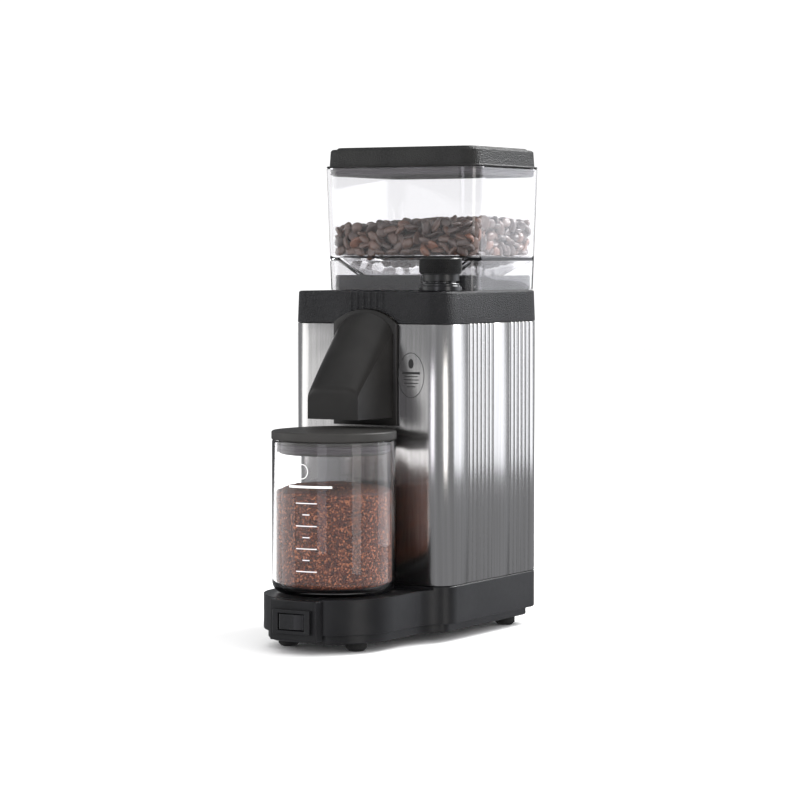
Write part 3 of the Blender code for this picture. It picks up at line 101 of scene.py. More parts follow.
GROUNDS_TOP = 0.1095
BEANS_TOP = 0.3000
EMBLEM_Z, EMBLEM_LINE_Z = 0.1250, 0.1145
FILL_MARK_TOP, FILL_MARK_PITCH = 0.1032, 0.00785
LABEL_BACK, LABEL_FACE = 0.00002, 0.00008  # of the label's print, out from the steel
INK_BACK, INK_FACE = 0.00001, 0.00007  # of the jar's print, out from the glass

FINISHES = {}


# ---- Materials
class Nodes:
    """A material's node tree, with short ways to add what the finishes share."""

    def __init__(self, name, colour, roughness, metallic=0.0):
        self.material = bpy.data.materials.new(name)
        self.material.use_nodes = True
        self.tree = self.material.node_tree
        self.shader = self.tree.nodes["Principled BSDF"]
        self.set("Base Color", (*colour, 1.0))
        self.set("Roughness", roughness)
        self.set("Metallic", metallic)
        self.place = self.tree.nodes.new("ShaderNodeTexCoord").outputs["Object"]

    def set(self, socket, value):
        self.shader.inputs[socket].default_value = value

    def link(self, source, socket):
        self.tree.links.new(source, self.shader.inputs[socket])

    def add(self, kind, inputs=(), **settings):
        made = self.tree.nodes.new(kind)
        for key, value in settings.items():
            setattr(made, key, value)
        for key, value in dict(inputs).items():
            if isinstance(value, bpy.types.NodeSocket):
                self.tree.links.new(value, made.inputs[key])
            else:
                made.inputs[key].default_value = value
        return made

    def stretched(self, scale):
        return self.add("ShaderNodeMapping", {"Vector": self.place, "Scale": scale}).outputs["Vector"]

    def noise(self, scale, detail=3.0, vector=None):
        made = self.add("ShaderNodeTexNoise",
                        {"Vector": vector or self.place, "Scale": scale, "Detail": detail})
        return made.outputs["Fac"]

    def cells(self, scale, feature="F1", vector=None):
        made = self.add("ShaderNodeTexVoronoi", {"Vector": vector or self.place, "Scale": scale},
                        feature=feature)
        return made

    def ramp(self, source, stops):
        made = self.add("ShaderNodeValToRGB", {"Fac": source})
        elements = made.color_ramp.elements
        while len(elements) < len(stops):
            elements.new(0.5)
        for element, (place, colour) in zip(elements, stops):
            element.position = place
            element.color = (*colour, 1.0) if not isinstance(colour, float) else (colour,) * 3 + (1.0,)
        return made.outputs["Color"]

    def span(self, source, low, high):
        made = self.add("ShaderNodeMapRange", {"Value": source, "To Min": low, "To Max": high})
        return made.outputs["Result"]

    def bump(self, height, distance, strength=1.0, after=None):
        inputs = {"Height": height, "Distance": distance, "Strength": strength}
        if after is not None:
            inputs["Normal"] = after
        return self.add("ShaderNodeBump", inputs).outputs["Normal"]


def finish(make):
    """Each finish is made once, however many pieces wear it."""
    def once():
        if make.__name__ not in FINISHES:
            FINISHES[make.__name__] = make()
        return FINISHES[make.__name__]
    return once


def moulded(name, dark, light, roughness, grain, depth, ior=1.40):
    """A finish of moulded plastic: cell grain, a slow drift of colour, and gloss that varies a little."""
    def make():
        look = Nodes(name, dark, roughness)
        drift = look.noise(35.0, 4.0)
        look.link(look.ramp(drift, [(0.35, dark), (0.68, light)]), "Base Color")
        look.link(look.span(look.noise(260.0, 2.0), roughness - 0.05, roughness + 0.08), "Roughness")
        pits = look.cells(grain).outputs["Distance"]
        look.link(look.bump(pits, depth), "Normal")
        look.set("IOR", ior)
        return look.material
    make.__name__ = name
    return finish(make)


cap_plastic = moulded("cap_plastic_look", (0.007, 0.007, 0.008), (0.013, 0.013, 0.014),
                      0.36, 1150.0, 0.00045)
base_plastic = moulded("base_plastic_look", (0.006, 0.006, 0.007), (0.011, 0.011, 0.012),
                       0.34, 2600.0, 0.00003)
chute_plastic = moulded("chute_plastic_look", (0.008, 0.0075, 0.007), (0.014, 0.013, 0.012),
                        0.32, 2400.0, 0.00003)
hopper_lid_plastic = moulded("hopper_lid_look", (0.010, 0.010, 0.0095), (0.016, 0.016, 0.015),
                             0.38, 1000.0, 0.00035)
jar_lid_plastic = moulded("jar_lid_look", (0.026, 0.025, 0.023), (0.036, 0.034, 0.032),
                          0.50, 2200.0, 0.00004)
knob_plastic = moulded("knob_look", (0.007, 0.007, 0.007), (0.012, 0.012, 0.012),
                       0.30, 2800.0, 0.00002, 1.48)
rocker_plastic = moulded("rocker_look", (0.007, 0.007, 0.008), (0.012, 0.012, 0.013),
                         0.22, 3200.0, 0.00001, 1.48)
rubber = moulded("rubber_look", (0.010, 0.010, 0.010), (0.018, 0.018, 0.017), 0.72, 1500.0, 0.00006)
seal_rubber = moulded("seal_look", (0.036, 0.031, 0.036), (0.052, 0.046, 0.052), 0.45, 1500.0, 0.00003)
gear_plastic = moulded("gear_look", (0.60, 0.57, 0.48), (0.74, 0.71, 0.62), 0.42, 900.0, 0.00004)


@finish
def brushed_steel():
    """Stainless sheet with a fine vertical brushing."""
    look = Nodes("brushed_steel_look", (0.60, 0.59, 0.58), 0.24, 1.0)
    along = look.stretched((1.0, 1.0, 0.012))
    fine, broad = look.noise(2600.0, 2.0, along), look.noise(420.0, 3.0, along)
    look.link(look.ramp(broad, [(0.30, (0.56, 0.55, 0.54)), (0.70, (0.66, 0.65, 0.64))]), "Base Color")
    look.link(look.span(fine, 0.17, 0.29), "Roughness")
    look.link(look.bump(fine, 0.000006, 0.6), "Normal")
    return look.material


@finish
def machined_steel():
    """Turned steel, with rings round the vertical."""
    look = Nodes("machined_steel_look", (0.56, 0.56, 0.57), 0.28, 1.0)
    rings = look.noise(900.0, 2.0, look.stretched((0.02, 0.02, 1.0)))
    look.link(look.ramp(rings, [(0.30, (0.48, 0.48, 0.50)), (0.70, (0.62, 0.62, 0.63))]), "Base Color")
    look.link(look.span(rings, 0.20, 0.38), "Roughness")
    look.link(look.bump(rings, 0.00002, 0.5), "Normal")
    return look.material


@finish
def burr_steel():
    look = Nodes("burr_steel_look", (0.42, 0.42, 0.43), 0.26, 1.0)
    ground = look.noise(1400.0, 3.0)
    look.link(look.ramp(ground, [(0.30, (0.34, 0.34, 0.35)), (0.70, (0.50, 0.50, 0.51))]), "Base Color")
    look.link(look.span(ground, 0.20, 0.34), "Roughness")
    return look.material


@finish
def cast_aluminium():
    look = Nodes("cast_aluminium_look", (0.55, 0.55, 0.56), 0.50, 1.0)
    sand = look.noise(700.0, 5.0)
    look.link(look.ramp(sand, [(0.30, (0.46, 0.46, 0.47)), (0.75, (0.62, 0.62, 0.63))]), "Base Color")
    look.link(look.span(sand, 0.40, 0.62), "Roughness")
    look.link(look.bump(sand, 0.00012, 0.6), "Normal")
    return look.material


@finish
def copper_winding():
    look = Nodes("winding_look", (0.50, 0.18, 0.07), 0.35, 1.0)
    wires = look.noise(1100.0, 1.0, look.stretched((0.05, 0.05, 1.0)))
    look.link(look.ramp(wires, [(0.35, (0.30, 0.09, 0.03)), (0.65, (0.62, 0.24, 0.10))]), "Base Color")
    look.link(look.bump(wires, 0.0002, 0.7), "Normal")
    return look.material


def clear(name, colour, roughness, ior, rough_spread):
    """Clear glass or plastic that lets the lamps' light through to what it holds."""
    look = Nodes(name, colour, roughness)
    look.set("Transmission Weight", 1.0)
    look.set("IOR", ior)
    smears = look.noise(60.0, 4.0)
    look.link(look.span(smears, roughness, roughness + rough_spread), "Roughness")
    look.link(look.bump(smears, 0.00002, 0.3), "Normal")
    lamps = look.add("ShaderNodeLightPath").outputs["Is Shadow Ray"]
    through = look.add("ShaderNodeBsdfTransparent", {"Color": (*colour, 1.0)}).outputs["BSDF"]
    mix = look.add("ShaderNodeMixShader", {0: lamps, 1: look.shader.outputs["BSDF"], 2: through})
    output = look.tree.nodes["Material Output"]
    look.tree.links.new(mix.outputs["Shader"], output.inputs["Surface"])
    return look.material


@finish
def clear_plastic():
    return clear("clear_plastic_look", (0.905, 0.902, 0.915), 0.02, 1.45, 0.03)


@finish
def jar_glass_look():
    return clear("jar_glass_look", (0.975, 0.970, 0.975), 0.0, 1.33, 0.01)


@finish
def roasted_bean():
    """Each bean has a roast of its own, between orange brown and near black, with an oily sheen."""
    look = Nodes("roasted_bean_look", (0.10, 0.045, 0.025), 0.38)
    each = look.add("ShaderNodeNewGeometry").outputs["Random Per Island"]
    roast = look.ramp(each, [(0.0, (0.040, 0.020, 0.013)), (0.55, (0.085, 0.042, 0.027)),
                             (0.90, (0.125, 0.060, 0.036)), (1.0, (0.220, 0.075, 0.032))])
    mottle = look.ramp(look.noise(900.0, 4.0), [(0.30, 0.62), (0.75, 1.0)])
    colour = look.add("ShaderNodeMix", {"Factor": 1.0, 6: roast, 7: mottle},
                      data_type="RGBA", blend_type="MULTIPLY")
    look.link(colour.outputs[2], "Base Color")
    look.link(look.span(look.noise(500.0, 2.0), 0.30, 0.52), "Roughness")
    look.link(look.bump(look.noise(1500.0, 3.0), 0.0001, 0.5), "Normal")
    look.set("Coat Weight", 0.35)
    look.set("Coat Roughness", 0.22)
    return look.material


@finish
def ground_coffee():
    """Coarse grains, each with its own red-brown."""
    look = Nodes("ground_coffee_look", (0.07, 0.022, 0.012), 0.85)
    grains = look.cells(1050.0)
    tone = look.add("ShaderNodeSeparateColor", {"Color": grains.outputs["Color"]}).outputs["Red"]
    look.link(look.ramp(tone, [(0.0, (0.012, 0.003, 0.002)), (0.45, (0.050, 0.012, 0.006)),
                               (0.80, (0.120, 0.030, 0.013)), (1.0, (0.400, 0.140, 0.060))]), "Base Color")
    look.link(look.bump(grains.outputs["Distance"], -0.0006, 0.8), "Normal")
    return look.material


@finish
def white_print():
    look = Nodes("white_print_look", (0.86, 0.86, 0.85), 0.45)
    look.link(look.ramp(look.noise(1800.0, 2.0), [(0.25, 0.80), (0.60, 0.90)]), "Base Color")
    return look.material


@finish
def black_print():
    look = Nodes("black_print_look", (0.02, 0.02, 0.02), 0.45)
    look.link(look.ramp(look.noise(1800.0, 2.0), [(0.25, 0.014), (0.60, 0.028)]), "Base Color")
    return look.material


# ---- Outlines
def arc(centre, radius, start, end, steps):
    """steps + 1 points on an arc, with the angles in degrees."""
    angles = [math.radians(start + (end - start) * i / steps) for i in range(steps + 1)]
    return [(centre[0] + radius * math.cos(a), centre[1] + radius * math.sin(a)) for a in angles]


def circle(radius, centre=(0, 0), segments=96):
    return arc(centre, radius, 0, 360, segments)[:-1]


def rounded_rectangle(half_x, half_y, radius, centre=(0, 0), steps=14, side_steps=1):
    outline = []
    corners = []
    for sx, sy, start in ((-1, -1, 180), (1, -1, 270), (1, 1, 0), (-1, 1, 90)):
        middle = (centre[0] + sx * (half_x - radius), centre[1] + sy * (half_y - radius))
        corners.append(arc(middle, radius, start, start + 90, steps))
    for i, points in enumerate(corners):
        (x0, y0), (x1, y1) = points[-1], corners[(i + 1) % 4][0]
        outline += points
        outline += [(x0 + (x1 - x0) * k / side_steps, y0 + (y1 - y0) * k / side_steps)
                    for k in range(1, side_steps)]
    return outline


def at_height(outline, z):
    return [(x, y, z) for x, y in outline]


def at_depth(outline, y):
    return [(x, y, z) for x, z in outline]


def softened(points, radius, steps=4, closed=False):
    """The same path with its corners rounded, each by no more than its sides allow."""
    result = []
    count = len(points)
    for i, point in enumerate(points):
        if not closed and i in (0, count - 1):
            result.append(point)
            continue
        here = Vector(point)
        before, after = Vector(points[i - 1]) - here, Vector(points[(i + 1) % count]) - here
        turn = math.pi - before.angle(after)
        reach = min(radius * math.tan(turn / 2), 0.45 * before.length, 0.45 * after.length)
        if turn < 0.15 or reach < 1e-6:
            result.append(point)
            continue
        first, last = here + before.normalized() * reach, here + after.normalized() * reach
        for k in range(steps + 1):
            t = k / steps
            middle = first * (1 - t) ** 2 + here * 2 * t * (1 - t) + last * t ** 2
            result.append(tuple(middle))
    return result


# ---- Solids
def from_mesh(name, form, look, sharp=35):
    bmesh.ops.recalc_face_normals(form, faces=form.faces)
    mesh = bpy.data.meshes.new(name)
    form.to_mesh(mesh)
    form.free()
    mesh.materials.append(look)
    mesh.shade_smooth()
    mesh.set_sharp_from_angle(angle=math.radians(sharp))
    made = bpy.data.objects.new(name, mesh)
    bpy.context.scene.collection.objects.link(made)
    return made


def skin(name, rings, look, loop=False, sharp=35):
    """A closed solid through rings of as many points each."""
    form = bmesh.new()
    rows = [[form.verts.new(point) for point in ring] for ring in rings]
    pairs = list(zip(rows, rows[1:]))
    if loop:
        pairs.append((rows[-1], rows[0]))
    else:
        form.faces.new(rows[0])
        form.faces.new(rows[-1])
    count = len(rows[0])
    for low, high in pairs:
        for i in range(count):
            j = (i + 1) % count
            form.faces.new((low[i], low[j], high[j], high[i]))
    return from_mesh(name, form, look, sharp)


def prism(name, outline, z0, z1, look):
    return skin(name, [at_height(outline, z0), at_height(outline, z1)], look)


def block(name, x0, x1, y0, y1, z0, z1, look):
    return prism(name, [(x0, y0), (x1, y0), (x1, y1), (x0, y1)], z0, z1, look)


def turned(name, profile, centre, look, segments=96, loop=False, soften=0.0, steps=4):
    """(radius, z) points turned round the vertical line through centre."""
    if soften:
        profile = softened(profile, soften, steps, loop)
    rings = [at_height(circle(radius, centre, segments), z) for radius, z in profile]
    return skin(name, rings, look, loop)


def apply_modifiers(target):
    shown = target.evaluated_get(bpy.context.evaluated_depsgraph_get())
    mesh = bpy.data.meshes.new_from_object(shown)
    target.modifiers.clear()
    target.data = mesh
    return target


def shaped(target, operation, *tools):
    """Booleans with each tool in turn, after which the tools are gone."""
    for tool in tools:
        modifier = target.modifiers.new(tool.name, "BOOLEAN")
        modifier.operation = operation
        modifier.solver = "EXACT"
        modifier.object = tool
    bpy.context.view_layer.update()
    apply_modifiers(target)
    for tool in tools:
        bpy.data.objects.remove(tool)
    return target


def resharpened(target, angle=35):
    """Marks the edges that the Booleans made, so that flats stay flat."""
    target.data.set_sharp_from_angle(angle=math.radians(angle))


def cut(target, *tools):
    return shaped(target, "DIFFERENCE", *tools)


def add(target, *tools):
    return shaped(target, "UNION", *tools)


def edged(target, width, segments=3, angle=35):
    """Small rounds on the sharp edges, with shading that keeps the flats flat."""
    bevel = target.modifiers.new("edges", "BEVEL")
    bevel.width = width
    bevel.segments = segments
    bevel.limit_method = "ANGLE"
    bevel.angle_limit = math.radians(angle)
    bevel.use_clamp_overlap = True
    weighted = target.modifiers.new("shading", "WEIGHTED_NORMAL")
    weighted.keep_sharp = True
    return target


def stands_for(piece, body, slot, *nodes):
    """The piece rides on its body and replaces these CAD nodes; slot is not used."""
    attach(piece, body)
    if nodes:
        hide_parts(*nodes)
    return piece


# ---- Base
def base_outline(body_inset, deck_inset):
    """The base in plan: a round deck with a flat front, fillets, and the body's rounded rectangle."""
    radius, flat = DECK_RADIUS - deck_inset, TRAY_LOW.y + deck_inset
    start = math.degrees(math.asin((flat - JAR_Y) / radius))
    half, corner = HALF_WIDTH - body_inset, BODY_CORNER - body_inset
    corner_x, front_corner_y = half - corner, FRONT_Y + BODY_CORNER
    fillet = DECK_FILLET + deck_inset
    fillet_x = radius + fillet
    fillet_y = front_corner_y - math.sqrt((corner + fillet) ** 2 - (fillet_x - corner_x) ** 2)
    meet = math.degrees(math.atan2(front_corner_y - fillet_y, corner_x - fillet_x))
    right = arc((0, JAR_Y), radius, start, 0, 26)
    right += arc((fillet_x, fillet_y), fillet, 180, meet, 14)
    right += arc((corner_x, front_corner_y), corner, meet - 180, 0, 14)[1:]
    right += arc((corner_x, REAR_Y - BODY_CORNER), corner, 0, 90, 16)
    return right + [(-x, y) for x, y in reversed(right)]


def base():
    look = base_plastic()
    low, top = TRAY_LOW.z, TRAY_HIGH.z
    deck = BASE_TOP - DECK_DROP
    wall = WALL
    edge = 0.0006
    rings = [at_height(base_outline(edge, edge), low), at_height(base_outline(0, 0), low + edge),
             at_height(base_outline(0, 0), top - edge), at_height(base_outline(edge, edge), top)]
    tray = skin("base_tray_look", rings, look)
    half, case = HALF_WIDTH, 0.0145
    pocket_inset = 0.0035
    vents = [(i - 2) * VENT_PITCH for i in range(5)]
    switch_z = (SWITCH_LOW.z + SWITCH_HIGH.z) / 2
    inlet = 0.026
    motor_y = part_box("motor_shaft")[0].y + 0.004
    gland_low, gland_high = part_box("cord_gland")
    gland_x, gland_z = (gland_low.x + gland_high.x) / 2, (gland_low.z + gland_high.z) / 2
    gland_radius = 0.0055
    cut(tray,
        block("over_deck", -half, half, TRAY_LOW.y - BEYOND, FRONT_Y, deck, top + BEYOND, look),
        prism("cavity", base_outline(wall, wall), low - BEYOND, deck - wall, look),
        prism("pocket", rounded_rectangle(half - pocket_inset, (REAR_Y - FRONT_Y) / 2 - pocket_inset,
                                          BODY_CORNER - pocket_inset, (0, BODY_Y)), deck, top + BEYOND, look),
        block("case_opening", -case, case, TRAY_LOW.y - BEYOND, TRAY_LOW.y + 0.006,
              switch_z - 0.00875, switch_z + 0.00875, look),
        turned("inlet", [(inlet, deck - 0.006), (inlet, deck + 0.004)], (0, motor_y), look, 48),
        skin("gland_hole", [at_depth(circle(gland_radius, (gland_x, gland_z), 32), REAR_Y - BEYOND),
                            at_depth(circle(gland_radius, (gland_x, gland_z), 32), REAR_Y + BEYOND)], look),
        *[block(f"vent_{i}", x - VENT_HALF, x + VENT_HALF, REAR_Y - BEYOND, REAR_Y + BEYOND,
                low + 0.004, deck - wall - 0.004, look) for i, x in enumerate(vents)])
    resharpened(tray)
    stands_for(tray, "housing", "black_plastic", "base_tray")

    cover_top = COVER_LOW.z + COVER_HEIGHT
    lower, flange = base_outline(COVER_BODY_INSET, COVER_DECK_INSET), base_outline(wall + GAP, wall + GAP)
    chamfer = 0.0008
    lowest = base_outline(COVER_BODY_INSET + chamfer, COVER_DECK_INSET + chamfer)
    heights = (COVER_LOW.z, COVER_LOW.z + chamfer, cover_top, cover_top, COVER_HIGH.z)
    outlines = (lowest, lower, lower, flange, flange)
    cover = skin("bottom_cover_look", [at_height(outline, z) for outline, z in zip(outlines, heights)], look)
    floor = COVER_LOW.z + wall
    holes = [turned(f"{kind}_hole_{name}", [(radius, COVER_LOW.z - BEYOND), (radius, floor + 0.002)],
                    centre, look, 24)
             for kind, radius in (("foot", 0.0028), ("screw", 0.0018))
             for name, centre in corner_points(kind).items()]
    cut(cover, prism("cover_pocket", base_outline(COVER_BODY_INSET + wall, COVER_DECK_INSET + wall),
                     floor, COVER_HIGH.z + BEYOND, look),
        *holes,
        *[block(f"slot_{i}", x - VENT_HALF, x + VENT_HALF, motor_y - 0.018, motor_y + 0.018,
                COVER_LOW.z - BEYOND, floor + 0.002, look) for i, x in enumerate(vents)])
    resharpened(cover)
    stands_for(cover, "housing", "black_plastic", "bottom_cover")


def corner_points(kind):
    points = {}
    for name in ("front_left", "front_right", "rear_left", "rear_right"):
        low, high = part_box(f"{kind}_{name}")
        points[name] = ((low.x + high.x) / 2, (low.y + high.y) / 2)
    return points


def feet():
    for name, centre in corner_points("foot").items():
        low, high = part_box(f"foot_{name}")
        radius = (high.x - low.x) / 2
        top = COVER_LOW.z - GAP
        profile = [(0.0, 0.0008), (0.0026, 0.0008), (0.0030, 0), (radius - 0.0021, 0), (radius, 0.0021),
                   (radius, top), (0.0025, top), (0.0025, high.z), (0.0, high.z)]
        foot = turned(f"foot_{name}_look", profile, centre, rubber(), 48, soften=0.0006)
        stands_for(foot, "housing", "rubber", f"foot_{name}")
    for name, centre in corner_points("screw").items():
        low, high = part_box(f"screw_{name}")
        profile = [(0.0001, low.z + 0.0002), (0.0022, low.z), (0.0032, low.z + 0.0008),
                   (0.0032, low.z + 0.0018), (0.0015, low.z + 0.0018), (0.0015, high.z - 0.001),
                   (0.0006, high.z)]
        head = turned(f"screw_{name}_look", profile, centre, machined_steel(), 40, soften=0.0003)
        x, y = centre
        blade, wide, deep = 0.0004, 0.0014, 0.0010
        cut(head, *[block(f"slot_{axis}", x - half_x, x + half_x, y - half_y, y + half_y,
                          low.z - 0.001, low.z + deep, rubber())
                    for axis, half_x, half_y in (("a", blade, wide), ("b", wide, blade))])
        resharpened(head)
        stands_for(head, "housing", "machined_steel", f"screw_{name}")


# ---- Switch
def switch():
    look = base_plastic()
    wall = WALL
    z = (SWITCH_LOW.z + SWITCH_HIGH.z) / 2
    panel = block("switch_panel_look", PANEL_LOW.x, PANEL_HIGH.x, PANEL_LOW.y, PANEL_HIGH.y,
                  PANEL_LOW.z, PANEL_HIGH.z, look)
    cut(panel,
        block("panel_inside", PANEL_LOW.x + wall, PANEL_HIGH.x - wall,
              PANEL_LOW.y + wall, PANEL_HIGH.y + BEYOND, PANEL_LOW.z + wall, PANEL_HIGH.z - wall, look),
        block("panel_hole", -0.0133, 0.0133, PANEL_LOW.y - BEYOND, PANEL_LOW.y + 2 * wall,
              z - 0.00755, z + 0.00755, look))
    stands_for(edged(panel, 0.0007), "housing", "black_plastic", "switch_panel")

    face, flange_back = SWITCH_LOW.y, PANEL_LOW.y - GAP
    body = block("switch_body_look", SWITCH_LOW.x, SWITCH_HIGH.x, face, flange_back,
                 SWITCH_LOW.z, SWITCH_HIGH.z, look)
    case = block("case", -0.0130, 0.0130, face + 0.0014, SWITCH_HIGH.y, z - 0.00725, z + 0.00725, look)
    add(body, case)
    room_x, room_z = 0.01056, (ROCKER_HIGH.z - ROCKER_LOW.z) / 2 + 0.0005
    cut(body, block("rocker_room", -room_x, room_x, face - BEYOND, SWITCH_HIGH.y - wall,
                    z - room_z, z + room_z, look))
    stands_for(edged(body, 0.0005), "housing", "black_plastic", "switch_body")

    pivot = (0.0020, face + GAP + 0.0025)
    half, tilt, heel = 0.0100, math.radians(16), 0.0030
    sunk = (half - pivot[0]) * math.tan(tilt)
    dish = 0.0004
    plan = [(-half, face + GAP), (-half * 0.45, face + GAP + dish), (pivot[0], face + GAP)]
    plan += [((pivot[0] + half) / 2, face + GAP + sunk * 0.5 + dish * 0.6), (half, face + GAP + sunk)]
    plan += [(pivot[0] + heel, pivot[1] + heel), (pivot[0] - heel, pivot[1] + heel),
             (-half, face + GAP + 0.0030)]
    plan = softened(plan, 0.0012, 4, closed=True)
    rocker = prism("switch_rocker_look", plan, ROCKER_LOW.z, ROCKER_HIGH.z, rocker_plastic())
    stands_for(edged(rocker, 0.0003, 2, 50), "rocker", "rocker_plastic", "switch_rocker")


# ---- Steel wrap and cap
def flutes():
    """(distance from the front, depth) along one side, each flute a smooth groove."""
    group = (FLUTES_PER_GROUP - 1) * FLUTE_PITCH
    points = []
    for first in (FLUTES_FROM_FRONT, FLUTES_FROM_FRONT + group + FLUTE_BAND):
        for i in range(FLUTES_PER_GROUP):
            middle = first + i * FLUTE_PITCH
            if middle + FLUTE_WIDTH > REAR_Y - FRONT_Y - BODY_CORNER:
                continue
            for k in range(-5, 6):
                depth = FLUTE_DEPTH * (0.5 + 0.5 * math.cos(math.pi * k / 5)) ** 0.7
                points.append((middle + FLUTE_WIDTH / 2 * k / 5, depth))
    return points


def shell_outline(inset):
    half, corner = HALF_WIDTH - inset, BODY_CORNER - inset
    front, rear = FRONT_Y + inset, REAR_Y - inset
    right = [(half - depth, FRONT_Y + along) for along, depth in flutes()]
    outline = arc((half - corner, front + corner), corner, 270, 360, 20) + right
    outline += arc((half - corner, rear - corner), corner, 0, 90, 20)
    return outline + [(-x, y) for x, y in reversed(outline)]


def steel_wrap():
    look = brushed_steel()
    roll = 0.0003
    rings = [at_height(shell_outline(roll), BASE_TOP), at_height(shell_outline(0), BASE_TOP + roll),
             at_height(shell_outline(0), SHELL_TOP - roll), at_height(shell_outline(roll), SHELL_TOP),
             at_height(shell_outline(SHEET), SHELL_TOP), at_height(shell_outline(SHEET), BASE_TOP)]
    wrap = skin("steel_shell_look", rings, look, loop=True, sharp=50)
    half = BEZEL_HIGH.x - BEZEL_RIM + GAP
    cut(wrap, block("chute_notch", -half, half, FRONT_Y - BEYOND, FRONT_Y + 0.005,
                    BEZEL_LOW.z + BEZEL_RIM - GAP, SHELL_TOP + BEYOND, look))
    resharpened(wrap, 50)
    stands_for(wrap, "housing", "steel_wrap", "steel_shell")


def cap_outline(inset):
    """The cap in plan, with six rounded ribs in the middle of its front."""
    plain = rounded_rectangle(HALF_WIDTH - inset, (REAR_Y - FRONT_Y) / 2 - inset, BODY_CORNER - inset,
                              (0, BODY_Y), 16)
    front = FRONT_Y + inset
    proud = FRONT_Y - CAP_LOW.y - 0.0001
    ribs = []
    for i in range(CAP_RIBS):
        middle = (i - (CAP_RIBS - 1) / 2) * CAP_RIB_PITCH
        for k in range(-4, 5):
            swell = proud * max(0.0, math.cos(math.pi / 2 * k / 4)) ** 0.6
            ribs.append((middle + CAP_RIB_WIDTH / 2 * k / 4, front - swell))
    return plain[:17] + ribs + plain[17:]


def boss_outline(inset):
    shrink = HOPPER_TAPER + HOPPER_WALL + 0.0010 + inset
    return rounded_rectangle(BIN_HIGH.x - shrink, (BIN_HIGH.y - BIN_LOW.y) / 2 - shrink,
                             HOPPER_CORNER - shrink, (0, HOPPER_Y), 12)


def arch(half_width, top, bottom, steps=40):
    """A doorway in the XZ plane whose head is a shallow arc."""
    rise = ARCH_RISE * (half_width / BEZEL_HIGH.x) ** 2
    radius = (half_width ** 2 + rise ** 2) / (2 * rise)
    spread = math.degrees(math.asin(half_width / radius))
    head = arc((0, top - radius), radius, 90 - spread, 90 + spread, steps)
    return [(-half_width, bottom), (half_width, bottom)] + head


def top_cap():
    look = cap_plastic()
    low, wall = CAP_LOW.z, WALL
    draft, edge = 0.0006, 0.0016
    rings = [at_height(cap_outline(0.0001), low), at_height(cap_outline(-0.0002), low + 0.0004)]
    for k in range(7):
        angle = math.pi / 2 * k / 6
        rings.append(at_height(cap_outline(draft + edge * (1 - math.cos(angle))),
                               CAP_TOP - edge * (1 - math.sin(angle))))
    cap = skin("top_cap_look", rings, look)
    boss_edge = 0.0008
    boss = skin("boss", [at_height(boss_outline(0), CAP_TOP - wall),
                         at_height(boss_outline(0), BOSS_TOP - boss_edge),
                         at_height(boss_outline(boss_edge * 0.3), BOSS_TOP - boss_edge * 0.3),
                         at_height(boss_outline(boss_edge), BOSS_TOP)], look)
    add(cap, boss)
    inside = rounded_rectangle(HALF_WIDTH - wall, (REAR_Y - FRONT_Y) / 2 - wall, BODY_CORNER - wall,
                               (0, BODY_Y))
    notch = arch(BEZEL_HIGH.x + GAP, BEZEL_HIGH.z + GAP, SHELL_TOP - BEYOND)
    grow = HOPPER_WALL + 0.0015
    room = [funnel_ring(share, z - grow, grow) for share, z in funnel_stations()]
    cut(cap,
        prism("cap_cavity", inside, low - BEYOND, CAP_TOP - wall, look),
        prism("boss_cavity", boss_outline(wall), CAP_TOP - 2 * wall, BOSS_TOP - wall, look),
        skin("funnel_room", room, look),
        turned("knob_hole", [(KNOB_BORE, CAP_TOP - 0.005), (KNOB_BORE, CAP_TOP + BEYOND)],
               (KNOB_X, KNOB_Y), look, 32),
        skin("arch_notch", [at_depth(notch, FRONT_Y - BEYOND), at_depth(notch, FRONT_Y + BEYOND)], look))
    resharpened(cap)
    stands_for(cap, "housing", "black_plastic", "top_cap")


# ---- Chute
def chute_bezel():
    top, bottom = BEZEL_HIGH.z, BEZEL_LOW.z
    half, rim = BEZEL_HIGH.x, BEZEL_RIM + CHUTE_WALL
    face, back = BEZEL_LOW.y, FRONT_Y - 0.0007
    edge = 0.0008

    def frame_ring(inset, y):
        return at_depth(arch(half - inset, top - inset, bottom + inset), y)

    rings = [frame_ring(edge, face), frame_ring(edge * 0.3, face + edge * 0.3), frame_ring(0, face + edge),
             frame_ring(0, back), frame_ring(BEZEL_RIM, back), frame_ring(BEZEL_RIM, BEZEL_HIGH.y),
             frame_ring(rim, BEZEL_HIGH.y), frame_ring(rim, face + edge), frame_ring(rim - edge, face)]
    bezel = skin("chute_bezel_look", rings, chute_plastic(), loop=True)
    stands_for(bezel, "housing", "black_plastic", "chute_bezel")


def chute_stations(slope_steps=14, nose_steps=14):
    """(y, height of the ridge, share of the way to the nose) along the hood, back to front."""
    back_y, nose_y, ridge = HOOD_HIGH.y, HOOD_LOW.y, HOOD_HIGH.z
    slope = math.atan2(ridge - NOSE_TOP, back_y - nose_y)
    turn = math.pi / 2 - slope
    tangent = NOSE_ROUND * math.tan(turn / 2)
    start = (nose_y + tangent * math.cos(slope), NOSE_TOP + tangent * math.sin(slope))
    centre = (nose_y + NOSE_ROUND, NOSE_TOP - tangent)
    stations = []
    for k in range(slope_steps + 1):
        share = k / slope_steps
        stations.append((back_y + (start[0] - back_y) * share, ridge + (start[1] - ridge) * share))
    for k in range(1, nose_steps + 1):
        angle = math.pi / 2 + slope + (turn - 0.02) * k / nose_steps
        stations.append((centre[0] + NOSE_ROUND * math.cos(angle), centre[1] + NOSE_ROUND * math.sin(angle)))
    return [(y, z, (back_y - y) / (back_y - nose_y)) for y, z in stations]


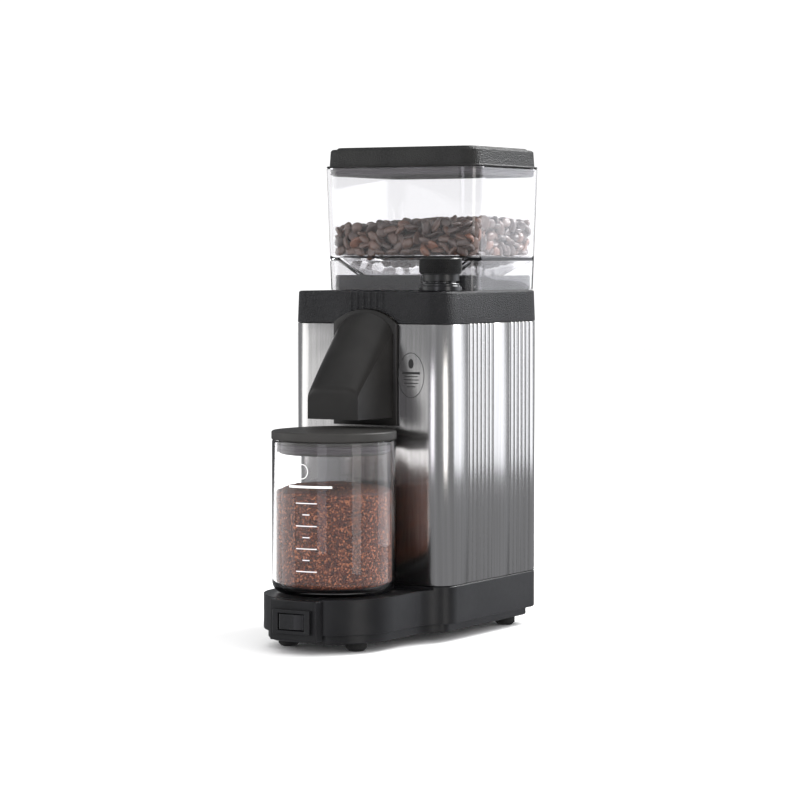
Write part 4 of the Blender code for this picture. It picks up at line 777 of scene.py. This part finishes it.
def chute_ring(y, ridge, share, inset, bottom):
    """The hood's section: flat sides and a head, arched at the body and nearly flat at the nose."""
    half = HOOD_HIGH.x + (NOSE_HALF - HOOD_HIGH.x) * share - inset
    arched = ARCH_RISE * (1 - share) ** 1.3
    shoulder = 0.0045
    steps = 44
    head = []
    for k in range(steps + 1):
        u = math.cos(math.pi * k / steps)
        head.append((half * u, ridge - inset - arched * u * u - shoulder * abs(u) ** 7))
    return [(x, y, z) for x, z in [(-half, bottom), (half, bottom)] + head]


def chute_hood():
    look = chute_plastic()
    bottom = HOOD_LOW.z
    hood = skin("chute_hood_look", [chute_ring(y, z, share, 0, bottom)
                                    for y, z, share in chute_stations()], look)
    back_y, ridge, _ = chute_stations()[0]
    inner = [chute_ring(back_y + BEYOND, ridge, 0, CHUTE_WALL, bottom - BEYOND)]
    inner += [chute_ring(y + CHUTE_WALL * share, z, share, CHUTE_WALL, bottom - BEYOND)
              for y, z, share in chute_stations(8, 8)]
    cut(hood, skin("hood_inside", inner, look))
    resharpened(hood, 40)
    stands_for(edged(hood, 0.0005, 2, 45), "housing", "black_plastic", "chute_hood")


# ---- Hopper
def hopper_ring(z, inset=0.0, steps=14, side_steps=5):
    shrink = HOPPER_TAPER * (RIM_Z - z) / (RIM_Z - CAP_TOP) + inset
    return at_height(rounded_rectangle(BIN_HIGH.x - shrink, (BIN_HIGH.y - BIN_LOW.y) / 2 - shrink,
                                       HOPPER_CORNER - shrink, (0, HOPPER_Y), steps, side_steps), z)


def funnel_stations():
    """(share of the way from the floor's ledge to the throat, z), downwards."""
    throat = CAP_TOP + 0.0005
    fall = throat - FLOOR_Z
    return [(0, FLOOR_Z), (0.4, FLOOR_Z + fall * 0.45), (0.75, FLOOR_Z + fall * 0.8), (1, throat),
            (1, CAP_TOP - 0.0100)]


def funnel_ring(share, z, grow=0.0):
    ring = []
    for x, y, _ in hopper_ring(FLOOR_Z, HOPPER_WALL + 0.0060 - grow):
        angle = math.atan2(y - HOPPER_Y, x)
        tx = (THROAT_RADIUS + grow) * math.cos(angle)
        ty = BURR_Y + (THROAT_RADIUS + grow) * math.sin(angle)
        ring.append((x + (tx - x) * share, y + (ty - y) * share, z))
    return ring


def hopper_bin():
    under, wall = BIN_LOW.z + 0.0103, HOPPER_WALL
    inside = [funnel_ring(share, z) for share, z in funnel_stations()]
    outside = [funnel_ring(share, z - wall, wall) for share, z in funnel_stations()[:-1]]
    outside.append(funnel_ring(1, BIN_LOW.z, wall))
    inside[-1] = funnel_ring(1, BIN_LOW.z)
    lip = 0.0005
    rings = [hopper_ring(under, 0.0002), hopper_ring(under + lip), hopper_ring(RIM_Z - lip),
             hopper_ring(RIM_Z, lip), hopper_ring(RIM_Z, wall - lip), hopper_ring(RIM_Z - lip, wall)]
    round_in = 0.0020
    for k in range(5):
        angle = math.pi / 2 * k / 4
        rings.append(hopper_ring(FLOOR_Z + round_in * (1 - math.sin(angle)),
                                 wall + round_in * (1 - math.cos(angle))))
    rings += inside + outside[::-1]
    rings += [hopper_ring(FLOOR_Z - wall, wall), hopper_ring(under, wall)]
    bin_piece = skin("hopper_bin_look", rings, clear_plastic(), loop=True, sharp=40)
    stands_for(bin_piece, "hopper", "clear_plastic", "hopper_bin")


def hopper_lid():
    seat, deep = RIM_Z + GAP, LID_LOW.z
    wall, plug, plateau = WALL, 0.0046, 0.0013
    body, flange = 0.0022, seat + 0.0011
    top = LID_HIGH.z
    step = top - plateau
    profile = [(plug + wall, step - wall), (plug + wall, deep), (plug, deep), (plug, seat), (0, seat),
               (0, flange), (body, flange), (body + 0.0008, step - 0.0012), (body + 0.0022, step),
               (body + 0.0052, step), (body + 0.0060, top - 0.0004), (body + 0.0068, top), (0.0300, top)]
    profile = softened(profile, 0.0007, 3)
    rings = [[(x, y, z) for x, y, _ in hopper_ring(RIM_Z, min(inset, HOPPER_CORNER - 0.0004), 14, 1)]
             for inset, z in profile]
    lid = skin("hopper_lid_look", rings, hopper_lid_plastic())
    stands_for(lid, "hopper_lid", "hopper_lid_plastic", "hopper_lid")
    fin, root = HOPPER_WALL + 0.0006, plug - GAP
    ribs = []
    low, high = LID_SEAL_LOW.z, LID_SEAL_HIGH.z
    for inset, share in ((root, 0), (fin, 0.06), (fin, 0.22), (root - 0.0009, 0.34), (root - 0.0009, 0.66),
                         (fin, 0.78), (fin, 0.94), (root, 1)):
        ribs.append([(x, y, low + (high - low) * share) for x, y, _ in hopper_ring(RIM_Z, inset, 14, 1)])
    seal = skin("hopper_lid_seal_look", ribs, seal_rubber(), loop=True)
    stands_for(seal, "hopper_lid", "seal", "hopper_lid_seal")


# ---- Beans
def bean_mesh(form, place, turn, size):
    """One coffee bean: a flattened half ovoid with a crease down its flat face."""
    across, around = 9, 14
    rows = []
    for i in range(across + 1):
        t = math.pi * i / across
        x, ring = math.cos(t), math.sin(t)
        row = []
        for k in range(around):
            a = 2 * math.pi * k / around
            y, z = ring * math.cos(a), ring * math.sin(a)
            if z < 0:
                wave = 0.10 * math.sin(2.6 * x)
                crease = 0.40 * math.exp(-((y - wave) / 0.18) ** 2) * max(0.0, ring - 0.12)
                z = 0.42 * z + crease
            row.append(Vector((x * size.x, y * size.y, z * size.z)))
        rows.append(row)
    tips = [form.verts.new(place + turn @ rows[0][0]), form.verts.new(place + turn @ rows[-1][0])]
    made = [[form.verts.new(place + turn @ point) for point in row] for row in rows[1:-1]]
    for k in range(around):
        j = (k + 1) % around
        form.faces.new((tips[0], made[0][k], made[0][j]))
        form.faces.new((tips[1], made[-1][j], made[-1][k]))
        for low, high in zip(made, made[1:]):
            form.faces.new((low[k], high[k], high[j], low[j]))


def packed_beans(count, reach, floor, top, seed):
    """Bean centres, pushed apart until they lie as beans do. reach gives the half sizes of their room."""
    rng = np.random.default_rng(seed)
    low = np.array([-reach[0], -reach[1], floor])
    high = np.array([reach[0], reach[1], top])
    points = rng.uniform(low, high, (count, 3))
    squash = np.array([1.0, 1.0, 1.25])
    apart = 0.0076
    for _ in range(70):
        offsets = (points[:, None, :] - points[None, :, :]) * squash
        distance = np.sqrt((offsets ** 2).sum(2)) + np.eye(count)
        push = np.clip(apart - distance, 0, None) / distance
        points += (offsets * push[:, :, None]).sum(1) * 0.35 / squash
        points[:, 2] -= 0.00004
        points = np.clip(points, low, high)
    return points, rng


def beans():
    """A heap of beans that fills the hopper from wall to wall, higher in the middle than at the left."""
    margin = HOPPER_WALL + BEAN_REACH
    half_x = BIN_HIGH.x - HOPPER_TAPER - margin
    half_y = (BIN_HIGH.y - BIN_LOW.y) / 2 - HOPPER_TAPER - margin
    points, rng = packed_beans(980, (half_x, half_y), FLOOR_Z + BEAN_REACH, BEANS_TOP - BEAN_REACH, 7)
    corner = HOPPER_CORNER - HOPPER_TAPER - margin
    form = bmesh.new()
    for x, y, z in points:
        out_x, out_y = abs(x) - (half_x - corner), abs(y) - (half_y - corner)
        if out_x > 0 and out_y > 0:
            out = math.hypot(out_x, out_y)
            if out > corner:
                x -= math.copysign(out_x * (1 - corner / out), x)
                y -= math.copysign(out_y * (1 - corner / out), y)
        rise = (z - FLOOR_Z) / (BEANS_TOP - FLOOR_Z)
        z += rise * (0.0022 * math.sin(x * 34 + 0.4) + 0.0012 * math.cos(y * 45))
        spread = 1 + rise * 0.010
        lean, roll = rng.normal(0, 0.40), rng.uniform(-math.pi, math.pi)
        leaning = Vector((math.sin(lean), 0, math.cos(lean)))
        upright = Vector((0, 0, 1)).rotation_difference(leaning).to_matrix()
        turn = rotation(rng.uniform(0, 2 * math.pi), "Z") @ upright @ rotation(roll, "X")
        near_side = max(abs(x) - half_x, abs(y) - half_y) > -0.0015
        if near_side:
            along = 0.0 if abs(y) - half_y > abs(x) - half_x else math.pi / 2
            turned_in = rotation(along + rng.normal(0, 0.10), "Z")
            turn = turned_in @ rotation(rng.normal(0, 0.8), "Y") @ rotation(roll, "X")
        size = Vector((rng.uniform(0.0049, 0.0060), rng.uniform(0.0035, 0.0041), rng.uniform(0.0028, 0.0034)))
        bean_mesh(form, Vector((x * spread, HOPPER_Y + y * spread, z)), turn, size)
    pile = from_mesh("coffee_beans", form, roasted_bean(), 60)
    stands_for(pile, "hopper", "black_plastic")


def rotation(angle, axis):
    return Matrix.Rotation(angle, 3, axis)


# ---- Jar
def jar():
    centre = (0, JAR_Y)
    low, rim = JAR_LOW.z, JAR_HIGH.z
    radius = (JAR_HIGH.x - JAR_LOW.x) / 2
    bore, floor = radius - JAR_WALL, low + JAR_FLOOR
    outer = [(0.0001, low + 0.0010), (radius * 0.55, low + 0.0008), (radius - JAR_CORNER - 0.002, low)]
    outer += [(radius - JAR_CORNER + JAR_CORNER * math.sin(a), low + JAR_CORNER * (1 - math.cos(a)))
              for a in [math.pi / 2 * k / 12 for k in range(13)]]
    lip = JAR_WALL / 2
    rolled = [(radius - lip + lip * math.cos(a), rim - lip + lip * math.sin(a))
              for a in [math.pi * k / 10 for k in range(11)]]
    heel = JAR_CORNER - JAR_WALL
    inner = [(bore - heel + heel * math.cos(a), floor + heel - heel * math.sin(a))
             for a in [math.pi / 2 * k / 10 for k in range(11)]]
    glass = turned("jar_glass_look_piece", outer + rolled + inner + [(0.0001, floor + 0.0006)], centre,
                   jar_glass_look(), 144)
    stands_for(glass, "jar", "jar_glass", "jar_glass")


def ground_coffee_heap():
    """The grounds: a granular body that fits the glass, with a shallow uneven heap on top."""
    radius = (JAR_HIGH.x - JAR_LOW.x) / 2 - JAR_WALL - 0.00025
    floor = JAR_LOW.z + JAR_FLOOR + 0.0009
    heel = JAR_CORNER - JAR_WALL
    rng = np.random.default_rng(11)
    around, step = 300, 0.0009
    rings = []
    for k in range(7):
        a = math.pi / 2 * k / 6
        rings.append((radius - heel + heel * math.sin(a), floor + heel * (1 - math.cos(a)), 0.0001))
    steps = int((GROUNDS_TOP - floor - heel) / step)
    rings += [(radius, floor + heel + step * k, 0.00022) for k in range(1, steps)]
    edge_z = rings[-1][1]
    rings += [(radius * (1 - t), edge_z + 0.0004 + 0.0006 * math.sin(t * math.pi * 0.5), 0.0004)
              for t in [k / 40 for k in range(1, 40)]]
    form = bmesh.new()
    rows = []
    for ring_radius, z, rough in rings:
        row = []
        jitter = rng.uniform(-1, 0, (around, 2)) * rough
        for k in range(around):
            a = 2 * math.pi * k / around
            uneven = 0.0005 * math.sin(3 * a + 0.7) + 0.0003 * math.sin(7 * a) if z > edge_z - 0.002 else 0.0
            r = ring_radius + jitter[k, 0]
            row.append(form.verts.new((r * math.cos(a), JAR_Y + r * math.sin(a), z + jitter[k, 1] + uneven)))
        rows.append(row)
    form.faces.new(rows[0])
    form.faces.new(rows[-1])
    for low, high in zip(rows, rows[1:]):
        for k in range(around):
            j = (k + 1) % around
            form.faces.new((low[k], low[j], high[j], high[k]))
    heap = from_mesh("ground_coffee", form, ground_coffee(), 80)
    stands_for(heap, "jar", "black_plastic")


def curved_patch(name, azimuth, half_span, z, half_height, look):
    """A thin printed mark that follows the jar's side. Azimuths are from -Y towards +X, in degrees."""
    radius = (JAR_HIGH.x - JAR_LOW.x) / 2
    steps = 8
    rings = []
    for k in range(steps + 1):
        a = math.radians(azimuth - 90) + half_span / radius * (2 * k / steps - 1)
        ring = []
        for r, height in ((radius + INK_BACK, -half_height), (radius + INK_FACE, -half_height),
                          (radius + INK_FACE, half_height), (radius + INK_BACK, half_height)):
            ring.append((r * math.cos(a), JAR_Y + r * math.sin(a), z + height))
        rings.append(ring)
    return skin(name, rings, look)


def jar_marks():
    """The fill marks, four long and three short, and a plain ring with a line under it."""
    azimuth = 5.0
    marks = []
    for i in range(7):
        z = FILL_MARK_TOP - FILL_MARK_PITCH * i
        half_span = 0.0080 if i % 2 == 0 else 0.0027
        marks.append(curved_patch(f"fill_mark_{i + 1}", azimuth, half_span, z, 0.00035, white_print()))
    marks.append(curved_patch("emblem_line", azimuth + 3, 0.0165, EMBLEM_LINE_Z, 0.0008, white_print()))
    for mark in marks:
        stands_for(mark, "jar", "jar_glass")
    radius = (JAR_HIGH.x - JAR_LOW.x) / 2
    half_width, half_height, line = 0.0046, 0.0052, 0.0005
    rings = []
    for k in range(64):
        a = 2 * math.pi * k / 64
        ring = []
        for r, grow in ((radius + INK_BACK, 0), (radius + INK_FACE, 0), (radius + INK_FACE, -line),
                        (radius + INK_BACK, -line)):
            turn = math.radians(azimuth - 94) + (half_width + grow) * math.cos(a) / radius
            ring.append((r * math.cos(turn), JAR_Y + r * math.sin(turn),
                         EMBLEM_Z + (half_height + grow) * math.sin(a)))
        rings.append(ring)
    stands_for(skin("emblem_ring", rings, white_print(), loop=True), "jar", "jar_glass")


def jar_lid():
    centre = (0, JAR_Y)
    seat, deep, top = JAR_HIGH.z + GAP, JAR_LID_LOW.z, JAR_LID_HIGH.z
    radius, plug, wall = (JAR_LID_HIGH.x - JAR_LID_LOW.x) / 2, 0.0386, WALL
    rim, edge = top - JAR_LID_DOME, 0.0008
    profile = [(0.0001, rim - wall), (plug - wall, rim - wall), (plug - wall, deep), (plug, deep),
               (plug, seat), (radius, seat), (radius, rim - edge)]
    for share in (1, 0.94, 0.85, 0.75, 0.64, 0.52, 0.40, 0.28, 0.16, 0.004):
        profile.append(((radius - edge) * share, rim + JAR_LID_DOME * 0.96 * (1 - share ** 2)))
    lid = turned("jar_lid_look_piece", profile, centre, jar_lid_plastic(), 128, soften=0.0010)
    hole_y, hole = JAR_Y + 0.0197, 0.0130
    cut(lid, turned("lid_hole", [(hole, rim - 0.005), (hole, top + BEYOND)], (0, hole_y),
                    jar_lid_plastic(), 64))
    resharpened(lid)
    stands_for(lid, "jar_lid", "lid_plastic", "jar_lid")
    fin = (JAR_SEAL_HIGH.x - JAR_SEAL_LOW.x) / 2
    root = plug + GAP
    low, high = JAR_SEAL_LOW.z, JAR_SEAL_HIGH.z
    ribs = [(root, low), (fin, low + 0.0001), (fin - 0.0002, low + 0.0013), (root + 0.0007, low + 0.0017),
            (root + 0.0007, low + 0.0031), (fin, low + 0.0034), (fin - 0.0002, high - 0.0001), (root, high)]
    seal = turned("jar_lid_seal_look", ribs, centre, seal_rubber(), 96, loop=True, soften=0.0002, steps=2)
    stands_for(seal, "jar_lid", "seal", "jar_lid_seal")


# ---- Knob
def knob():
    centre = Vector((KNOB_X, KNOB_Y))
    low, top = KNOB_LOW.z, KNOB_HIGH.z
    radius = (KNOB_HIGH.x - KNOB_LOW.x) / 2
    neck, skirt, bore = 0.0110, 0.0133, KNOB_BORE
    grip_low = low + 0.0060
    grip_base, grip_top = grip_low + 0.0008, top - 0.0008
    rows, columns, depth = 40, 432, 0.0007
    teeth = 54
    profile = [(bore, low), (neck, low), (neck, low + 0.0009), (skirt - 0.0003, low + 0.0009),
               (skirt, low + 0.0012), (skirt, grip_low - 0.0003), (radius - 0.0009, grip_low),
               (radius - depth, grip_base)]
    form = bmesh.new()
    rings = [[(r, z)] * columns for r, z in profile]
    for i in range(1, rows):
        z = grip_base + (grip_top - grip_base) * i / rows
        ring = []
        for k in range(columns):
            turn = 2 * math.pi * k / columns
            climb = (z - grip_base) / radius
            left, right = teeth * (turn + climb) / 2, teeth * (turn - climb) / 2
            groove = min(abs(math.sin(left)), abs(math.sin(right)))
            ring.append((radius - depth + depth * min(1.0, groove * 1.3), z))
        rings.append(ring)
    rings += [[(r, z)] * columns for r, z in ((radius - depth, grip_top), (radius - 0.0012, top),
                                              (radius - 0.0040, top), (radius - 0.0044, top - 0.0003),
                                              (bore + 0.0012, top - 0.0003), (bore, top - 0.0008))]
    made = []
    for ring in rings:
        made.append([form.verts.new((centre.x + r * math.cos(2 * math.pi * k / columns),
                                     centre.y + r * math.sin(2 * math.pi * k / columns), z))
                     for k, (r, z) in enumerate(ring)])
    for low_ring, high_ring in zip(made, made[1:] + made[:1]):
        for k in range(columns):
            j = (k + 1) % columns
            form.faces.new((low_ring[k], low_ring[j], high_ring[j], high_ring[k]))
    grip = from_mesh("grind_knob_look", form, knob_plastic(), 20)
    stands_for(grip, "knob", "knob_plastic", "grind_knob")

    outer, inner = (COLLAR_HIGH.x - COLLAR_LOW.x) / 2, KNOB_BORE
    low, top = COLLAR_LOW.z, COLLAR_HIGH.z
    profile = [(inner, low), (outer, low), (outer, low + 0.0034), (outer - 0.0012, low + 0.0039),
               (outer - 0.0012, top - 0.0006), (outer - 0.0018, top), (inner, top)]
    collar = turned("knob_collar_look", profile, tuple(centre), rocker_plastic(), 96, loop=True,
                    soften=0.0004)
    stands_for(collar, "housing", "black_plastic", "knob_collar")


# ---- Label
def oval(centre, half_x, half_z, segments=72):
    return [(centre[0] + half_x * math.cos(2 * math.pi * k / segments),
             centre[1] + half_z * math.sin(2 * math.pi * k / segments)) for k in range(segments)]


def printed(name, outline):
    """A flat mark printed on the steel's front."""
    back, face = FRONT_Y - LABEL_BACK, FRONT_Y - LABEL_FACE
    mark = skin(name, [at_depth(outline, back), at_depth(outline, face)], black_print())
    stands_for(mark, "housing", "steel_wrap")


def label():
    """A plain oval ring with a bean shape and five bars."""
    centre = (0.0365, 0.1888)
    half_x, half_z, line = 0.0107, 0.0160, 0.0004
    back, face = FRONT_Y - LABEL_BACK, FRONT_Y - LABEL_FACE
    outer, inner = oval(centre, half_x, half_z), oval(centre, half_x - line, half_z - line)
    ring = skin("label_ring", [at_depth(outer, back), at_depth(outer, face), at_depth(inner, face),
                               at_depth(inner, back)], black_print(), loop=True)
    stands_for(ring, "housing", "steel_wrap")
    printed("label_bean", oval((centre[0], centre[1] + 0.0082), 0.0021, 0.0034, 32))
    for i, (half, thick) in enumerate(((0.0072, 0.0008), (0.0055, 0.0003), (0.0062, 0.0003), (0.0058, 0.0003),
                                       (0.0036, 0.0003))):
        z = centre[1] + 0.0016 - 0.0024 * i
        printed(f"label_bar_{i + 1}", [(centre[0] - half, z - thick), (centre[0] + half, z - thick),
                                       (centre[0] + half, z + thick), (centre[0] - half, z + thick)])


# ---- The pieces that keep their CAD shape
def dress_inner_parts():
    looks = {
        machined_steel: ["burr_bearing_lower", "burr_bearing_upper", "burr_shaft", "gear_plate", "knob_shaft",
                         "motor_bearing_lower", "motor_bearing_upper", "motor_pinion", "motor_rotor",
                         "motor_shaft",
                         "chassis_post_front_left", "chassis_post_front_right", "chassis_post_rear_left",
                         "chassis_post_rear_right"],
        burr_steel: ["upper_burr", "lower_burr"],
        cast_aluminium: ["grind_chamber", "lower_burr_carrier", "upper_burr_carrier", "motor_bracket_lower",
                         "motor_bracket_upper", "motor_capacitor"],
        copper_winding: ["motor_stator"],
        gear_plastic: ["adjust_ring", "cooling_fan", "drive_gear", "knob_pinion", "terminal_block"],
        rubber: ["cord_gland"],
    }
    for look, names in looks.items():
        for name in names:
            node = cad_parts[name]
            if not node.data.materials:
                node.data.materials.append(look())
            for slot in node.material_slots:
                slot.material = look()


# ---- Stage, light and camera
def plane(name, size, centre, look):
    form = bmesh.new()
    half = size / 2
    corners = [form.verts.new((centre[0] + sx * half, centre[1] + sy * half, centre[2]))
               for sx, sy in ((-1, -1), (1, -1), (1, 1), (-1, 1))]
    form.faces.new(corners)
    return from_mesh(name, form, look)


def studio():
    pale = Nodes("floor_look", (0.90, 0.90, 0.90), 0.70)
    pale.link(pale.ramp(pale.noise(3.0, 2.0), [(0.3, 0.89), (0.7, 0.92)]), "Base Color")
    pale.set("Specular IOR Level", 0.0)
    floor = plane("floor", 14.0, (0, 0, -0.0002), pale.material)
    floor.visible_glossy = False

    world = bpy.data.worlds.new("studio")
    bpy.context.scene.world = world
    world.use_nodes = True
    tree = world.node_tree
    ground = tree.nodes["Background"]
    ground.inputs["Color"].default_value = (0.62, 0.63, 0.66, 1.0)
    ground.inputs["Strength"].default_value = 0.42
    seen = tree.nodes.new("ShaderNodeBackground")
    seen.inputs["Color"].default_value = (1.0, 1.0, 1.0, 1.0)
    seen.inputs["Strength"].default_value = 1.12
    path = tree.nodes.new("ShaderNodeLightPath")
    mirrored = tree.nodes.new("ShaderNodeMath")
    mirrored.operation = "SUBTRACT"
    mirrored.use_clamp = True
    tree.links.new(path.outputs["Is Glossy Ray"], mirrored.inputs[0])
    tree.links.new(path.outputs["Is Transmission Ray"], mirrored.inputs[1])
    mix = tree.nodes.new("ShaderNodeMixShader")
    tree.links.new(mirrored.outputs[0], mix.inputs[0])
    tree.links.new(seen.outputs[0], mix.inputs[1])
    tree.links.new(ground.outputs[0], mix.inputs[2])
    tree.links.new(mix.outputs[0], tree.nodes["World Output"].inputs["Surface"])


def soft_light(name, azimuth, distance, height, width, tall, power, colour=(1, 1, 1)):
    """An area lamp round the grinder that faces it. Azimuths are from -Y towards +X, in degrees."""
    lamp = bpy.data.lights.new(name, "AREA")
    lamp.shape = "RECTANGLE"
    lamp.size, lamp.size_y = width, tall
    lamp.energy = power
    lamp.color = colour
    made = bpy.data.objects.new(name, lamp)
    turn = math.radians(azimuth)
    made.location = (distance * math.sin(turn), -distance * math.cos(turn), height)
    aim = Vector((0, 0.03, 0.18)) - made.location
    made.rotation_euler = aim.to_track_quat("-Z", "Y").to_euler()
    made.visible_camera = False
    bpy.context.scene.collection.objects.link(made)


def lights():
    soft_light("left_card", -62, 1.6, 0.45, 1.1, 1.5, 8)
    soft_light("front_left_card", -28, 2.4, 0.50, 1.2, 1.5, 3)
    soft_light("front_card", 9, 2.6, 0.60, 0.8, 1.7, 9, (0.94, 0.92, 1.0))
    soft_light("corner_card", 72, 2.2, 0.50, 0.7, 1.6, 11, (1.0, 0.97, 0.94))
    soft_light("rear_right_card", 140, 1.8, 0.55, 1.5, 1.4, 10, (0.92, 0.94, 1.0))
    soft_light("grain_card", 152, 1.5, 1.50, 0.9, 0.7, 50)
    soft_light("top_card", -20, 0.5, 1.9, 1.6, 1.6, 6)


def camera():
    data = bpy.data.cameras.new("camera")
    data.lens = 130.4
    data.sensor_width = 36.0
    made = bpy.data.objects.new("camera", data)
    made.location = (1.0547, -1.7951, 0.2733)
    made.rotation_euler = (math.radians(87.145), 0, math.radians(30.104))
    bpy.context.scene.collection.objects.link(made)
    bpy.context.scene.camera = made


def main():
    scene = bpy.context.scene
    scene.view_settings.view_transform = "Standard"
    camera()
    studio()
    lights()
    base()
    feet()
    switch()
    steel_wrap()
    top_cap()
    chute_bezel()
    chute_hood()
    hopper_bin()
    hopper_lid()
    beans()
    jar()
    ground_coffee_heap()
    jar_marks()
    jar_lid()
    knob()
    label()
    dress_inner_parts()


main()
